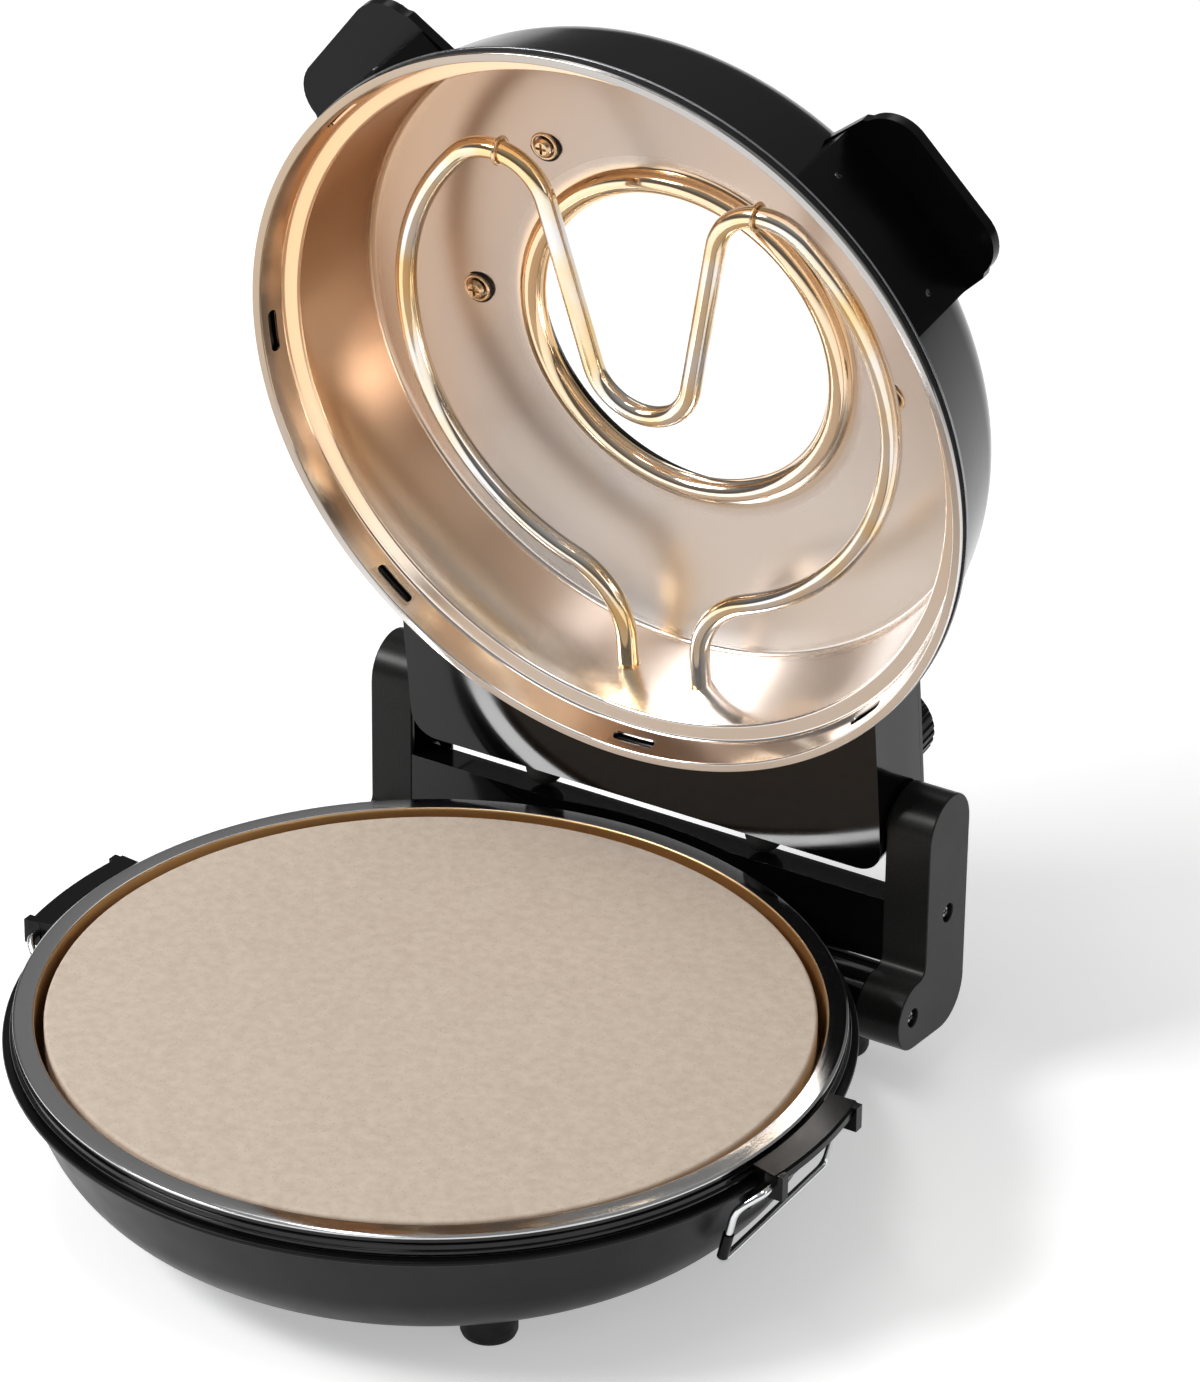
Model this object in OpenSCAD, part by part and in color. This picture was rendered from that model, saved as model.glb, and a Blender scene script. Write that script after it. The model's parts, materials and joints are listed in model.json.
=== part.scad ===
// Round countertop cooker: a stone plate in a bowl-shaped base, under a hinged lid
// with a window and a tube heater. Millimetres. Z is up, -Y is the front, and the
// origin is on the surface the feet stand on, under the middle of the open cooker.
// Pieces are drawn about the axis of the base and then put in place together.
// The lid is drawn shut, in its own frame, and opened about the hinge pins first.

/* [Stone plate] */
// Diameter of the stone plate
stone_d = 316; // [300:1:324]
// Thickness of the stone plate
stone_t = 11; // [8:0.5:13]
// How far the stone's top lies under the steel ring
stone_drop = 1.5; // [0.5:0.5:4]
// Gap between the stone and the steel pan around it
stone_gap = 3.9; // [3:0.1:8]

/* [Base rim] */
// Height of the shell's flat bottom above the table
foot_rise = 12; // [8:1:20]
// Width of the flat steel ring
ring_w = 7.8; // [6:0.2:12]
// Sheet thickness of the pan and its ring
pan_wall = 1.2; // [0.8:0.1:1.6]
// Width of the bevel on the ring's outer edge
ring_bevel = 1; // [0.6:0.1:1.6]
// Depth of the pan's floor under the ring
pan_depth = 34; // [28:1:40]
// Step from the ring's bevel out to the black trim ring
trim_step = 1.3; // [0.8:0.1:3]
// Step from the trim ring out to the shell's flange
flange_step = 3.1; // [2:0.1:5]
// Depth of the flange's top under the steel ring
flange_drop = 9.2; // [7:0.2:12]
// Thickness of the shell's flange
flange_t = 2.2; // [1.6:0.1:3]

/* [Base shell] */
// Step from the flange's edge in to the shell's wall
shell_inset = 2.6; // [1.5:0.1:5]
// Sheet thickness of the shell
shell_wall = 1.4; // [1:0.1:2]
// Depth of the shell's flat bottom under the steel ring
bowl_depth = 70; // [68:1:74]
// Slope of the shell's side from the upright
bowl_taper = 22.8; // [18:0.2:26]
// Radius of the curve from the side into the bottom
bowl_bend = 52; // [46:1:54]
// Radius of the round cover under the shell
belly_r = 96; // [80:1:100]
// Thickness of the round cover under the shell
belly_t = 1.5; // [1:0.1:2.5]

/* [Feet] */
// Diameter of the feet
foot_d = 23.5; // [18:0.5:28]
// Distance of the front feet from the base's axis
foot_ring_r = 118; // [108:1:122]
// Angle of the front feet from the front
foot_angle = 43.5; // [35:0.5:55]
// Distance of the rear feet from the middle plane
rear_foot_x = 96; // [80:1:100]
// Diameter of the screw well in a foot
foot_well_d = 9; // [7:0.5:11]

/* [Hinge] */
// Distance from the flange's edge back to the hinge axis
hinge_behind = 9.5; // [8:0.1:14]
// Height of the hinge axis above the steel ring
hinge_rise = 33.2; // [30:0.1:38]
// Diameter of the hinge pins
pin_d = 10; // [7:0.5:12]
// Radial clearance of the pins in the bracket
pin_clearance = 0.05; // [0.02:0.01:0.1]
// Opening angle of the lid as drawn
lid_open = 82.4; // [75:0.1:84]
// Length of a hinge pin inside the bracket
pin_reach = 13; // [11:0.5:20]
// Thickness of the hinge friction washers
washer_t = 1; // [0.6:0.1:1]

/* [Hinge cheeks] */
// Distance between the two cheeks
cheek_gap = 234.8; // [226:0.2:238]
// Width of a cheek
cheek_w = 21.1; // [18:0.1:26]
// Radius of a cheek's rounded top
cheek_r = 17.35; // [16:0.05:19]
// How far the cheek's middle lies behind the hinge axis
cheek_set = 2.7; // [0:0.1:4]
// How far the centre of the cheek's top lies under the hinge axis
cheek_low = 1.4; // [0:0.1:4]
// Depth of the cheek's lower front lobe under the steel ring
lobe_depth = 45; // [42:0.5:48]
// Radius of the cheek's lower front lobe
lobe_r = 15.5; // [13:0.5:17]
// How far the lobe's centre lies in front of the hinge axis
lobe_ahead = 22; // [18:0.5:25]
// Radius of the cheek's lower rear corner
heel_r = 18; // [17:0.5:21]
// Radius of the hollow above the lobe
notch_r = 5; // [3:0.5:8]
// Wall of the plastic housings
case_wall = 2.6; // [2:0.1:3.5]
// Diameter of the cheek screws' heads
cheek_screw_d = 6.4; // [5:0.1:8]
// Depth of the recess over a cheek screw
cheek_recess = 3; // [2:0.5:5]

/* [Lid] */
// Gap between the shut lid and the steel ring
lid_gap = 0.3; // [0.2:0.1:1]
// Step from the ring's edge in to the lid's rim
rim_inset = 1.6; // [1:0.1:3]
// Width of the lid's flat rim
rim_w = 3.9; // [3:0.1:6]
// Sheet thickness of the lid's liner
liner_wall = 0.9; // [0.6:0.1:1.2]
// Height of the liner's step over the rim
step_h = 13.4; // [12:0.2:16]
// Width from the rim's edge to the foot of the liner's wall
step_in = 14.6; // [13:0.2:17]
// Height of the liner's roof, from the top of its wall to the window's bead
roof_rise = 11.3; // [8:0.1:13]
// Lean of the liner's wall from foot to top
wall_lean = 6; // [4:0.2:9]
// Height of the cover's edge over the rim
cover_edge_h = 4.8; // [4:0.1:7]
// Sheet thickness of the cover
cover_wall = 1.2; // [0.8:0.1:1.6]
// Radius of the cover's shoulder
shoulder_r = 48; // [44:0.5:50]
// Distance from the rim's edge in to the shoulder's widest ring
shoulder_in = 10.8; // [9:0.2:12]
// Height of the cover's top over the rim
cover_h = 82; // [78:0.5:84]
// Distance from the cover's top down to the liner's roof beside the window
roof_drop = 10.7; // [10.4:0.1:14]
// How far the lid's slots and ears sit round from square, as the pressed lid came out
lid_turn = 1.2; // [0:0.1:3]
// Number of air slots around the liner's edge
slot_n = 8; // [4:1:12]
// Length of an air slot
slot_len = 20; // [14:1:26]
// Height of an air slot
slot_h = 4.2; // [3:0.1:5]

/* [Window] */
// Radius of the window's clear hole
window_r = 68; // [60:0.5:72]
// Width of the rolled bead around the window
bead_w = 12; // [10:0.5:14]
// Thickness of the window glass
glass_t = 3; // [2:0.1:3.2]
// How far the glass reaches past the clear hole
glass_lap = 15; // [13:0.5:17]
// How much wider the cover's hole is than the clear hole
cover_hole_step = 8; // [6:0.5:9]
// Width of the outer window ring
bezel_w = 10; // [8:0.5:14]
// Thickness of the outer window ring
bezel_t = 2.5; // [1.5:0.1:4]

/* [Upper heater] */
// Diameter of the upper heater tube
heater_d = 9; // [6:0.5:10]
// Height of the heater's ends over the rim
heater_h = 39; // [34:0.5:41]
// How much nearer to the rim the heater's front loops are than its ends
loop_dip = 4.5; // [2:0.5:6]
// How much nearer to the rim its middle bend is than its ends
mid_dip = 3; // [0:0.5:5]
// Radius of the heater's outer sweep
sweep_r = 115.5; // [112:0.5:120]
// How far the sweep's centre lies in front of the lid's axis
sweep_ahead = 6; // [5:0.5:8]
// Radius of the two front loops
loop_r = 24.7; // [22:0.1:27]
// Radius of the middle bend
mid_r = 23.9; // [18:0.1:25]
// Radius of the bends beside the terminals
tail_r = 38; // [26:0.5:40]
// How far the middle bend's centre lies in front of the lid's axis
mid_ahead = 6.6; // [3:0.2:10]
// Reach of the front loops in front of the lid's axis
loop_front = 95; // [92:0.5:98]
// How far the heater's clips sit inwards of the front loops' centres
clip_in = 3.6105; // [0:0.1:8]
// Half the distance between the heater's two ends
tail_x = 18; // [16:0.5:24]
// Wire diameter of the heater's clips
clip_wire = 1.8; // [1.2:0.1:2.4]
// Wire diameter of the stems that hang the clips from the roof
clip_stem = 1.2; // [1:0.1:1.8]

/* [Lower heater] */
// Diameter of the lower heater tube
low_heater_d = 6.5; // [5:0.5:8]
// Half width of the lower heater's loop
low_loop = 112; // [90:1:125]
// Depth of the lower heater under the steel ring
low_heater_drop = 24; // [21:0.5:26]

/* [Bracket and controls] */
// Height of the bracket's underside over the rim
bracket_low = 15; // [14:0.5:18]
// Height of the bracket's top over the rim
bracket_top = 54; // [51:0.5:56]
// Distance of the bracket's rear face behind the hinge axis
bracket_behind = 17.8; // [15.4:0.2:21.4]
// Gap between the bracket and each cheek
bracket_side_gap = 1.2; // [1.1:0.05:2]
// Radius of the bracket's rear corners
bracket_corner = 12; // [8:0.5:12]
// Thickness of the control panel
panel_t = 2.5; // [2:0.1:3.5]
// Diameter of the stop bumpers
bumper_d = 17; // [12:0.5:20]
// Distance of a stop bumper from the middle plane
bumper_x = 54.6; // [40:1:70]
// Length of a stop bumper
bumper_len = 12; // [9:0.5:14]
// Radius of the two knobs
knob_r = 20; // [15:0.5:20.5]
// Height of the two knobs
knob_h = 17; // [12:0.5:22]
// Distance of a knob from the middle plane
knob_x = 93; // [60:1:93]
// Distance of the knobs in front of the bracket's rear face
knob_back = 39; // [30:0.5:40]
// Diameter of the knobs' shafts
shaft_d = 6; // [5:0.5:8]

/* [Ears] */
// Angle of the ears from the front of the lid
ear_angle = 49.8; // [44:0.2:56]
// Width of an ear at the lid
ear_root_w = 79; // [72:1:88]
// Width of an ear at its tip
ear_tip_w = 76; // [64:1:84]
// Distance of an ear's tip from the lid's axis
ear_tip_r = 189.6; // [186:0.2:200]
// Radius of an ear's outer corners
ear_corner = 17; // [10:1:20]
// Thickness of an ear's plate
ear_t = 5; // [4:0.5:8]
// Height of the ear's plate over the rim
ear_h = 47; // [38:0.5:49]

/* [Grips and bails] */
// Half the angle that a side grip spans
grip_span = 10.3; // [8:0.1:13]
// Reach of a grip beyond the flange's edge
grip_reach = 8.9; // [7:0.1:15]
// Depth of a grip's top under the steel ring
grip_drop = 2.4; // [2:0.1:4]
// Thickness of a grip's top plate
grip_t = 4; // [3:0.2:5]
// Wire diameter of the bails
bail_wire = 3.3; // [2.6:0.1:4]
// Distance of a bail's pivot beyond the flange's edge
bail_pivot_out = 3.3; // [2.9:0.1:4.9]
// Depth of a bail's pivot under the steel ring
bail_pivot_drop = 9.6; // [9:0.1:11]
// Depth of a bail's lower bar under the steel ring
bail_drop = 45; // [42:0.5:50]
// How far a bail's lower bar lies inside the flange's edge
bail_bar_in = 13.1; // [9:0.1:13.6]
// Distance of a bail's legs from its middle
bail_leg_y = 42.5; // [40:0.5:46]
// How far the left grip is turned towards the back
left_turn = 1.6; // [-2:0.1:3]

/* [Hidden] */
$fn = 96;

// Small fixed sizes: overlaps that cut cleanly, and standard screws
cut = 1;
screw_core_r = 1.6;
screw_head_r = 3.4;
screw_head_t = 2;
drive_r = 1.3;

// Height of the steel ring above the table
ring_z = bowl_depth + foot_rise;

// Radii of the base, from the stone outwards
stone_r = stone_d / 2;
pan_r = stone_r + stone_gap;
ring_r = pan_r + ring_w;
bevel_r = ring_r + ring_bevel;
trim_r = bevel_r + trim_step;
flange_r = trim_r + flange_step;
shell_r = flange_r - shell_inset;
flange_bottom = flange_drop + flange_t;
pan_floor = pan_depth;
stone_bottom = stone_drop + stone_t;
reflector_gap = 5;
reflector_t = 0.8;
reflector_r = pan_r + pan_wall + 0.6;

// Shell's side: a straight taper that runs into a curve above the flat bottom
bend_depth = bowl_depth - bowl_bend;
taper_end = bend_depth + bowl_bend * sin(bowl_taper);
taper_end_r = shell_r - (taper_end - flange_bottom) * tan(bowl_taper);
bend_r0 = taper_end_r - bowl_bend * cos(bowl_taper);

// Hinge and cheeks, seen from the side as (y, z)
hinge_y = flange_r + hinge_behind;
hinge_z = ring_z + hinge_rise;
cheek_x = cheek_gap / 2;
cheek_y = hinge_y + cheek_set;
cheek_top_z = hinge_z - cheek_low;
lobe_y = hinge_y - lobe_ahead;
lobe_z = ring_z - lobe_depth;
pin_r = pin_d / 2;
pin_boss_r = pin_r + 4;

// Lid frame: z = 0 at the rim, the lid's axis at the base's axis
lid_z = ring_z + lid_gap;
pivot_h = hinge_z - lid_z;
rim_r = ring_r - rim_inset;
rim_in_r = rim_r - rim_w;
step_r = rim_r - step_in;
wall_top_r = step_r - wall_lean;
cover_r = rim_r + 0.2;
cover_side_r = rim_r - 2.2;
shoulder_h = cover_h - shoulder_r;
shoulder_c = rim_r - shoulder_in - shoulder_r;
side_lean = shoulder_lean(cover_side_r - shoulder_c, shoulder_h - cover_edge_h - 1.2);
bead_r = window_r + bead_w;
glass_r = window_r + glass_lap;
roof_h = cover_h - roof_drop;
wall_h = roof_h - roof_rise;
glass_h = roof_h + liner_wall + 0.3;
cover_hole_r = window_r + cover_hole_step;
bezel_in = 0.8;
bezel_out_r = cover_hole_r - bezel_in + bezel_w;

// Bracket in the lid frame
bracket_x = cheek_x - bracket_side_gap;
bracket_reach = hinge_y + bracket_behind;
boss_len = 7;
bumper_r = bumper_d / 2;
bumper_h = bracket_low + bumper_r + 0.5;
bumper_swing = norm([bracket_reach + bumper_len - bumper_r - hinge_y, pivot_h - bumper_h]) + bumper_r;
knob_y = bracket_reach - knob_back;
knob_low = bracket_top + 0.6;

// Rear housing: its top clears the bumpers as they swing past
housing_top = hinge_z - bumper_swing - 0.3;
housing_x = cheek_x;
back_y = cheek_y + cheek_r;
crown_y = hinge_y - 1;
crown_slope_drop = 16;

// The open cooker's middle, between the flange's front and the rearmost of the cover, bezel and knobs
function open_y(y, h) = hinge_y + (y - hinge_y) * cos(lid_open) + (h - pivot_h) * sin(lid_open);
rear_y = max(open_y(shoulder_c, shoulder_h) + shoulder_r, open_y(bezel_out_r, cover_h + bezel_t),
             open_y(knob_y + knob_r, knob_low + knob_h));
middle_y = (rear_y - flange_r) / 2;

// Points of an arc about c, from angle a0 to a1
function arc(c, r, a0, a1, n = 12) =
  [for (i = [0:n]) let (a = a0 + (a1 - a0) * i / n) [c[0] + r * cos(a), c[1] + r * sin(a)]];
function flip(p) = [for (i = [len(p) - 1:-1:0]) p[i]];
function mirror_x(p) = [for (q = p) [-q[0], q[1], q[2]]];
function unit(v) = v / norm(v);
function mix(a, b, t) = a + (b - a) * t;

// Angle at which a straight side meets the shoulder's arc: the side's foot lies
// out from and down under the arc's centre
function shoulder_lean(out, down) = acos(shoulder_r / norm([out, down])) - atan2(down, out);

module revolve(points) rotate_extrude() polygon(points);
module both_sides() for (s = [-1, 1]) scale([s, 1, 1]) children();
module ring(r_in, r_out, h)
  difference() {
    cylinder(r = r_out, h = h);
    translate([0, 0, -cut]) cylinder(r = r_in, h = h + 2 * cut);
  }
// A rod from p to q, with a slightly wider ball at each end
ball_step = 0.15;
module rod(p, q, r, fn = 32) {
  d = q - p;
  translate(p) {
    sphere(r = r + ball_step, $fn = fn);
    rotate([0, acos(d[2] / norm(d)), atan2(d[1], d[0])]) cylinder(r = r, h = norm(d), $fn = fn);
  }
  translate(q) sphere(r = r + ball_step, $fn = fn);
}
// A bar along X between x0 and x1, centred on (y, z)
module x_bar(x0, x1, y, z, r) translate([x0, y, z]) rotate([0, 90, 0]) cylinder(r = r, h = x1 - x0);
// A pan-head screw along +Z, its head's top at z = 0
module screw(len, head_r = screw_head_r, core_r = screw_core_r) {
  difference() {
    translate([0, 0, -screw_head_t]) cylinder(r = head_r, h = screw_head_t);
    translate([0, 0, -screw_head_t / 2]) cylinder(r = drive_r, h = screw_head_t, $fn = 6);
  }
  translate([0, 0, -len]) cylinder(r = core_r, h = len - screw_head_t + 0.01);
}
// A tube of n sides swept along a path of 3-D points
module tube(path, r, n = 12) {
  last = len(path) - 1;
  rings = [for (i = [0:last])
    let (d = unit(path[min(i + 1, last)] - path[max(i - 1, 0)]),
         side = unit(cross(d, [0, 0, 1])),
         up = cross(side, d))
      for (k = [0:n - 1]) path[i] + r * (side * cos(360 * k / n) + up * sin(360 * k / n))];
  walls = [for (i = [0:last - 1]) for (k = [0:n - 1])
    [i * n + k, i * n + (k + 1) % n, (i + 1) * n + (k + 1) % n, (i + 1) * n + k]];
  ends = [[for (k = [n - 1:-1:0]) k], [for (k = [0:n - 1]) last * n + k]];
  polyhedron(points = rings, faces = concat(walls, ends));
}
// A straight path whose corners are rounded: each corner is [x, y, radius]
function rounded(c) = concat([[c[0][0], c[0][1]]],
  [for (i = [1:len(c) - 2])
    let (p = [c[i][0], c[i][1]],
         a = unit([c[i - 1][0], c[i - 1][1]] - p),
         b = unit([c[i + 1][0], c[i + 1][1]] - p),
         half = acos(a * b) / 2,
         reach = c[i][2] / tan(half),
         centre = p + unit(a + b) * c[i][2] / sin(half),
         from = p + a * reach - centre,
         to = p + b * reach - centre,
         a0 = atan2(from[1], from[0]),
         turn = atan2(to[1], to[0]) - a0,
         sweep = turn > 180 ? turn - 360 : turn < -180 ? turn + 360 : turn,
         n = max(6, ceil(abs(sweep) / 8)))
      each [for (k = [0:n]) centre + c[i][2] * [cos(a0 + sweep * k / n), sin(a0 + sweep * k / n)]]],
  [[c[len(c) - 1][0], c[len(c) - 1][1]]]);
function lift(path, z) = [for (p = path) [p[0], p[1], z]];

// The lid's parts are drawn shut and opened together
module on_lid()
  translate([0, hinge_y, hinge_z]) rotate([-lid_open, 0, 0])
    translate([0, -hinge_y, -pivot_h]) children();
module on_ring() translate([0, 0, ring_z]) children();
module in_place() translate([0, -middle_y, 0]) children();

// ---------------------------------------------------------------- base

// Outline of the shell's outside, moved in by o, from the flange down to the bottom
function bowl_side(o) = concat(
  [[shell_r - o / cos(bowl_taper), -flange_bottom]],
  arc([bend_r0, -bend_depth], bowl_bend - o, -bowl_taper, -90, 14));
// Everything inside the base's outside, grown by g
module base_envelope(g) on_ring() revolve(concat(
  [[0, 60], [flange_r + g, 60], [flange_r + g, -flange_bottom - g],
   [shell_r + g / cos(bowl_taper), -flange_bottom - g]],
  arc([bend_r0, -bend_depth], bowl_bend + g, -bowl_taper, -90, 14),
  [[0, -bowl_depth - g]]));

module stone_plate() color("#d9cfc2") in_place() on_ring()
  revolve([[0, -stone_bottom], [stone_r - 1, -stone_bottom], [stone_r, -stone_bottom + 1],
           [stone_r, -stone_drop - 0.8], [stone_r - 0.8, -stone_drop], [0, -stone_drop]]);

module base_pan() color("#b9bbbd") in_place() on_ring() difference() {
  revolve([[0, -pan_floor], [pan_r - 8, -pan_floor], [pan_r, -pan_floor + 8], [pan_r, -1],
           [pan_r + 1, 0], [ring_r, 0], [bevel_r, -0.6], [bevel_r, -pan_wall - 0.6],
           [ring_r, -pan_wall], [pan_r + pan_wall + 1, -pan_wall],
           [pan_r + pan_wall, -pan_wall - 1], [pan_r + pan_wall, -pan_floor + 7.5],
           [pan_r - 7.5, -pan_floor - pan_wall], [0, -pan_floor - pan_wall]]);
  for (s = [-1, 1]) translate([s * tail_x, pan_r - 12, -low_heater_drop])
    rotate([-90, 0, 0]) cylinder(r = low_heater_d / 2 + 1.5, h = 24);
}

module reflector_pan() color("#a7a9ab") in_place() on_ring() difference() {
  low = pan_floor + pan_wall + reflector_gap;
  revolve([[0, -low], [reflector_r - 14, -low], [reflector_r, -low + 14],
           [reflector_r, -flange_drop + reflector_t], [trim_r - 1, -flange_drop + reflector_t],
           [trim_r - 1, -flange_drop], [reflector_r + reflector_t, -flange_drop],
           [reflector_r + reflector_t, -low + 13.5], [reflector_r - 13.5, -low - reflector_t],
           [0, -low - reflector_t]]);
  for (s = [-1, 1]) translate([s * tail_x, pan_r - 12, -low_heater_drop])
    rotate([-90, 0, 0]) cylinder(r = low_heater_d / 2 + 1.5, h = 24);
}

module trim_ring() color("#1a1a1b") in_place() on_ring() {
  low = flange_drop - reflector_t;
  revolve([[reflector_r + 1, -low], [trim_r, -low], [trim_r, -6.6], [trim_r - 0.8, -5.6],
           [bevel_r - 1, -pan_wall - 1], [ring_r - 1, -pan_wall], [reflector_r + 1, -pan_wall]]);
}

module base_shell() color("#202022") in_place() difference() {
  on_ring() revolve(concat(
    [[flange_r, -flange_drop], [flange_r, -flange_bottom]], bowl_side(0),
    [[belly_r - 6, -bowl_depth], [belly_r - 6, -bowl_depth + shell_wall]],
    flip(bowl_side(shell_wall)),
    [[shell_r - 4, -flange_drop]]));
  // Ways through to the rear housing: one for each heater end, and one for the leads
  for (s = [-1, 1]) translate([s * tail_x, pan_r - 12, ring_z - low_heater_drop])
    rotate([-90, 0, 0]) cylinder(r = low_heater_d / 2 + 1.5, h = 24);
  translate([-60, flange_r - 45, ring_z - 48]) cube([24, 60, 12]);
  bolt_places() translate([0, 0, -12]) cylinder(r = screw_core_r + 0.05, h = 24);
  on_ring() belly_screw_places() translate([0, 0, -cut]) cylinder(r = screw_core_r + 0.05, h = 8);
  front_foot_places() translate([0, 0, ring_z - bowl_depth - 2])
    cylinder(r = screw_core_r + 0.05, h = 12);
  grip_holes();
  on_left() grip_holes();
}
module grip_holes() on_ring() grip_screw_places()
  translate([0, 0, -6]) cylinder(r = screw_core_r + 0.05, h = 12);

belly_screw_r = belly_r - 3;
module belly_screw_places() for (a = [45:90:359]) rotate(a)
  translate([belly_screw_r, 0, -bowl_depth - belly_t]) children();
module belly_cover() color("#232324") in_place() on_ring() difference() {
  translate([0, 0, -bowl_depth - belly_t]) cylinder(r = belly_r, h = belly_t);
  for (a = [0:30:359]) rotate(a) translate([40, -2, -bowl_depth - belly_t - cut])
    cube([34, 4.2, belly_t + 2 * cut]);
  belly_screw_places() translate([0, 0, -cut]) cylinder(r = screw_core_r + 0.05, h = belly_t + 2 * cut);
}
module belly_screws() color("#8d8f92") in_place() on_ring() belly_screw_places()
  translate([0, 0, -screw_head_t]) rotate([180, 0, 0]) screw(screw_head_t + belly_t + shell_wall + 3);

// A foot from the table up to z = h, with a screw well in its sole
module foot(h) difference() {
  revolve([[0, 0], [foot_d / 2 - 2.5, 0], [foot_d / 2 - 0.7, 0.8], [foot_d / 2, 2.6],
           [foot_d / 2, h], [0, h]]);
  translate([0, 0, -cut]) cylinder(r = foot_well_d / 2, h = 3.4 + cut);
  cylinder(r = screw_core_r + 0.05, h = h + cut);
}
module front_foot_places() for (s = [-1, 1])
  translate([s * foot_ring_r * sin(foot_angle), -foot_ring_r * cos(foot_angle), 0]) children();
rear_foot_y = hinge_y - 8;
module rear_foot_places() for (s = [-1, 1]) translate([s * rear_foot_x, rear_foot_y, 0]) children();
rear_foot_h = lobe_z - heel_r + 1;
module front_feet() color("#141414") in_place() difference() {
  front_foot_places() foot(ring_z - bowl_depth + 6);
  base_envelope(0);
}
module rear_feet() color("#141414") in_place() difference() {
  rear_foot_places() foot(rear_foot_h + 6);
  translate([0, 0, 0.01]) housing_form(0, cheek_x + cut);
}
module foot_screws() color("#8d8f92") in_place() {
  front_foot_places() translate([0, 0, 1.4]) rotate([180, 0, 0]) screw(ring_z - bowl_depth + 2);
  rear_foot_places() translate([0, 0, 1.4]) rotate([180, 0, 0]) screw(rear_foot_h + 4);
}

// Brackets on the pan's floor that carry the stone, each with a shelf under the lower heater
rest_r = low_loop + 18;
shelf_low = low_heater_drop + low_heater_d / 2 + 1.55;
module stone_rests() color("#9a9c9e") in_place() on_ring() for (a = [45:90:359]) rotate(a) {
  translate([rest_r, -6, -pan_floor]) cube([1.5, 12, pan_floor - stone_bottom]);
  translate([rest_r, -6, -stone_bottom - 1.5]) cube([10, 12, 1.5]);
  translate([rest_r, -6, -pan_floor]) cube([10, 12, 1.5]);
  translate([rest_r - 16, -6, -shelf_low]) cube([16.5, 12, 1.5]);
}

low_tail = pan_r + 12;
low_path = lift(rounded([[tail_x, low_tail], [tail_x, low_loop, 18], [low_loop, low_loop, 84],
  [low_loop, -low_loop, 100], [-low_loop, -low_loop, 100], [-low_loop, low_loop, 84],
  [-tail_x, low_loop, 18], [-tail_x, low_tail]]), ring_z - low_heater_drop);
module lower_heater() color("#6f6a66") in_place() tube(low_path, low_heater_d / 2);
module lower_heater_seals() color("#e8e4da") in_place() for (s = [-1, 1])
  translate([s * tail_x, pan_r + pan_wall + 0.2, ring_z - low_heater_drop]) rotate([-90, 0, 0])
    ring(low_heater_d / 2 + 0.05, low_heater_d / 2 + 1.4, 6);

module limit_thermostat() color("#c9c6bf") in_place() on_ring()
  translate([0, 60, -pan_floor - pan_wall - 4.5]) {
    cylinder(r = 8, h = 4.5);
    translate([-12, -3, 3.5]) cube([24, 6, 1]);
  }

// ---------------------------------------------------------------- rear housing and cheeks

// Outline of a cheek from the side, moved in by o, as (y, z)
function cheek_outline(o) =
  let (front = cheek_y - cheek_r + o,
       lobe = lobe_r - o,
       notch = notch_r + o,
       fy = front - notch,
       fz = lobe_z + sqrt(pow(lobe + notch, 2) - pow(lobe_y - fy, 2)),
       lobe_a = atan2(fz - lobe_z, fy - lobe_y),
       heel = heel_r - o,
       heel_y = back_y - heel_r,
       span = norm([heel_y - lobe_y, 0]),
       under = asin((heel - lobe) / span))
  concat(
    arc([cheek_y, cheek_top_z], cheek_r - o, 0, 180, 20),
    arc([fy, fz], notch, 0, lobe_a - 180, 6),
    arc([lobe_y, lobe_z], lobe, lobe_a, 270 - under, 14),
    arc([heel_y, lobe_z], heel, 270 - under, 360, 10));
// The lower part of the same outline, closed on top by the housing's crown
module housing_outline(o) {
  intersection() {
    polygon(cheek_outline(o));
    polygon([[0, 0], [back_y + cut, 0], [back_y + cut, housing_top - crown_slope_drop - o],
             [crown_y, housing_top - o], [0, housing_top - o]]);
  }
}
// Profile drawn as (y, z), made x_half wide to both sides
module along_x(x_half) rotate([90, 0, 90]) translate([0, 0, -x_half])
  linear_extrude(height = 2 * x_half) children();
module housing_form(o, x_half) along_x(x_half) housing_outline(o);

cover_low = lobe_z - 8;
cover_high = housing_top - crown_slope_drop - 5;
cover_x = housing_x - 12;
module rear_housing() color("#1c1c1d") in_place() difference() {
  housing_form(0, housing_x);
  base_envelope(0.05);
  // The hollow, open at the back behind the rear cover
  difference() {
    housing_form(case_wall, housing_x - case_wall);
    base_envelope(case_wall);
  }
  translate([-cover_x, back_y - case_wall - 3, cover_low])
    cube([2 * cover_x, case_wall + 3 + cut, cover_high - cover_low]);
  // Ways for the leads, the bolts and the cheek screws
  for (s = [-1, 1]) translate([s * tail_x, pan_r - 12, ring_z - low_heater_drop])
    rotate([-90, 0, 0]) cylinder(r = low_heater_d / 2 + 3, h = 24);
  translate([-60, flange_r - 45, ring_z - 48]) cube([24, 60, 12]);
  bolt_places() translate([0, 0, -12]) cylinder(r = screw_core_r + 0.05, h = 24);
  both_sides() cheek_screw_places()
    x_bar(housing_x - 8, housing_x + cut, 0, 0, screw_core_r + 0.05);
  rear_foot_places() cylinder(r = screw_core_r + 0.05, h = rear_foot_h + 8);
}

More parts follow.
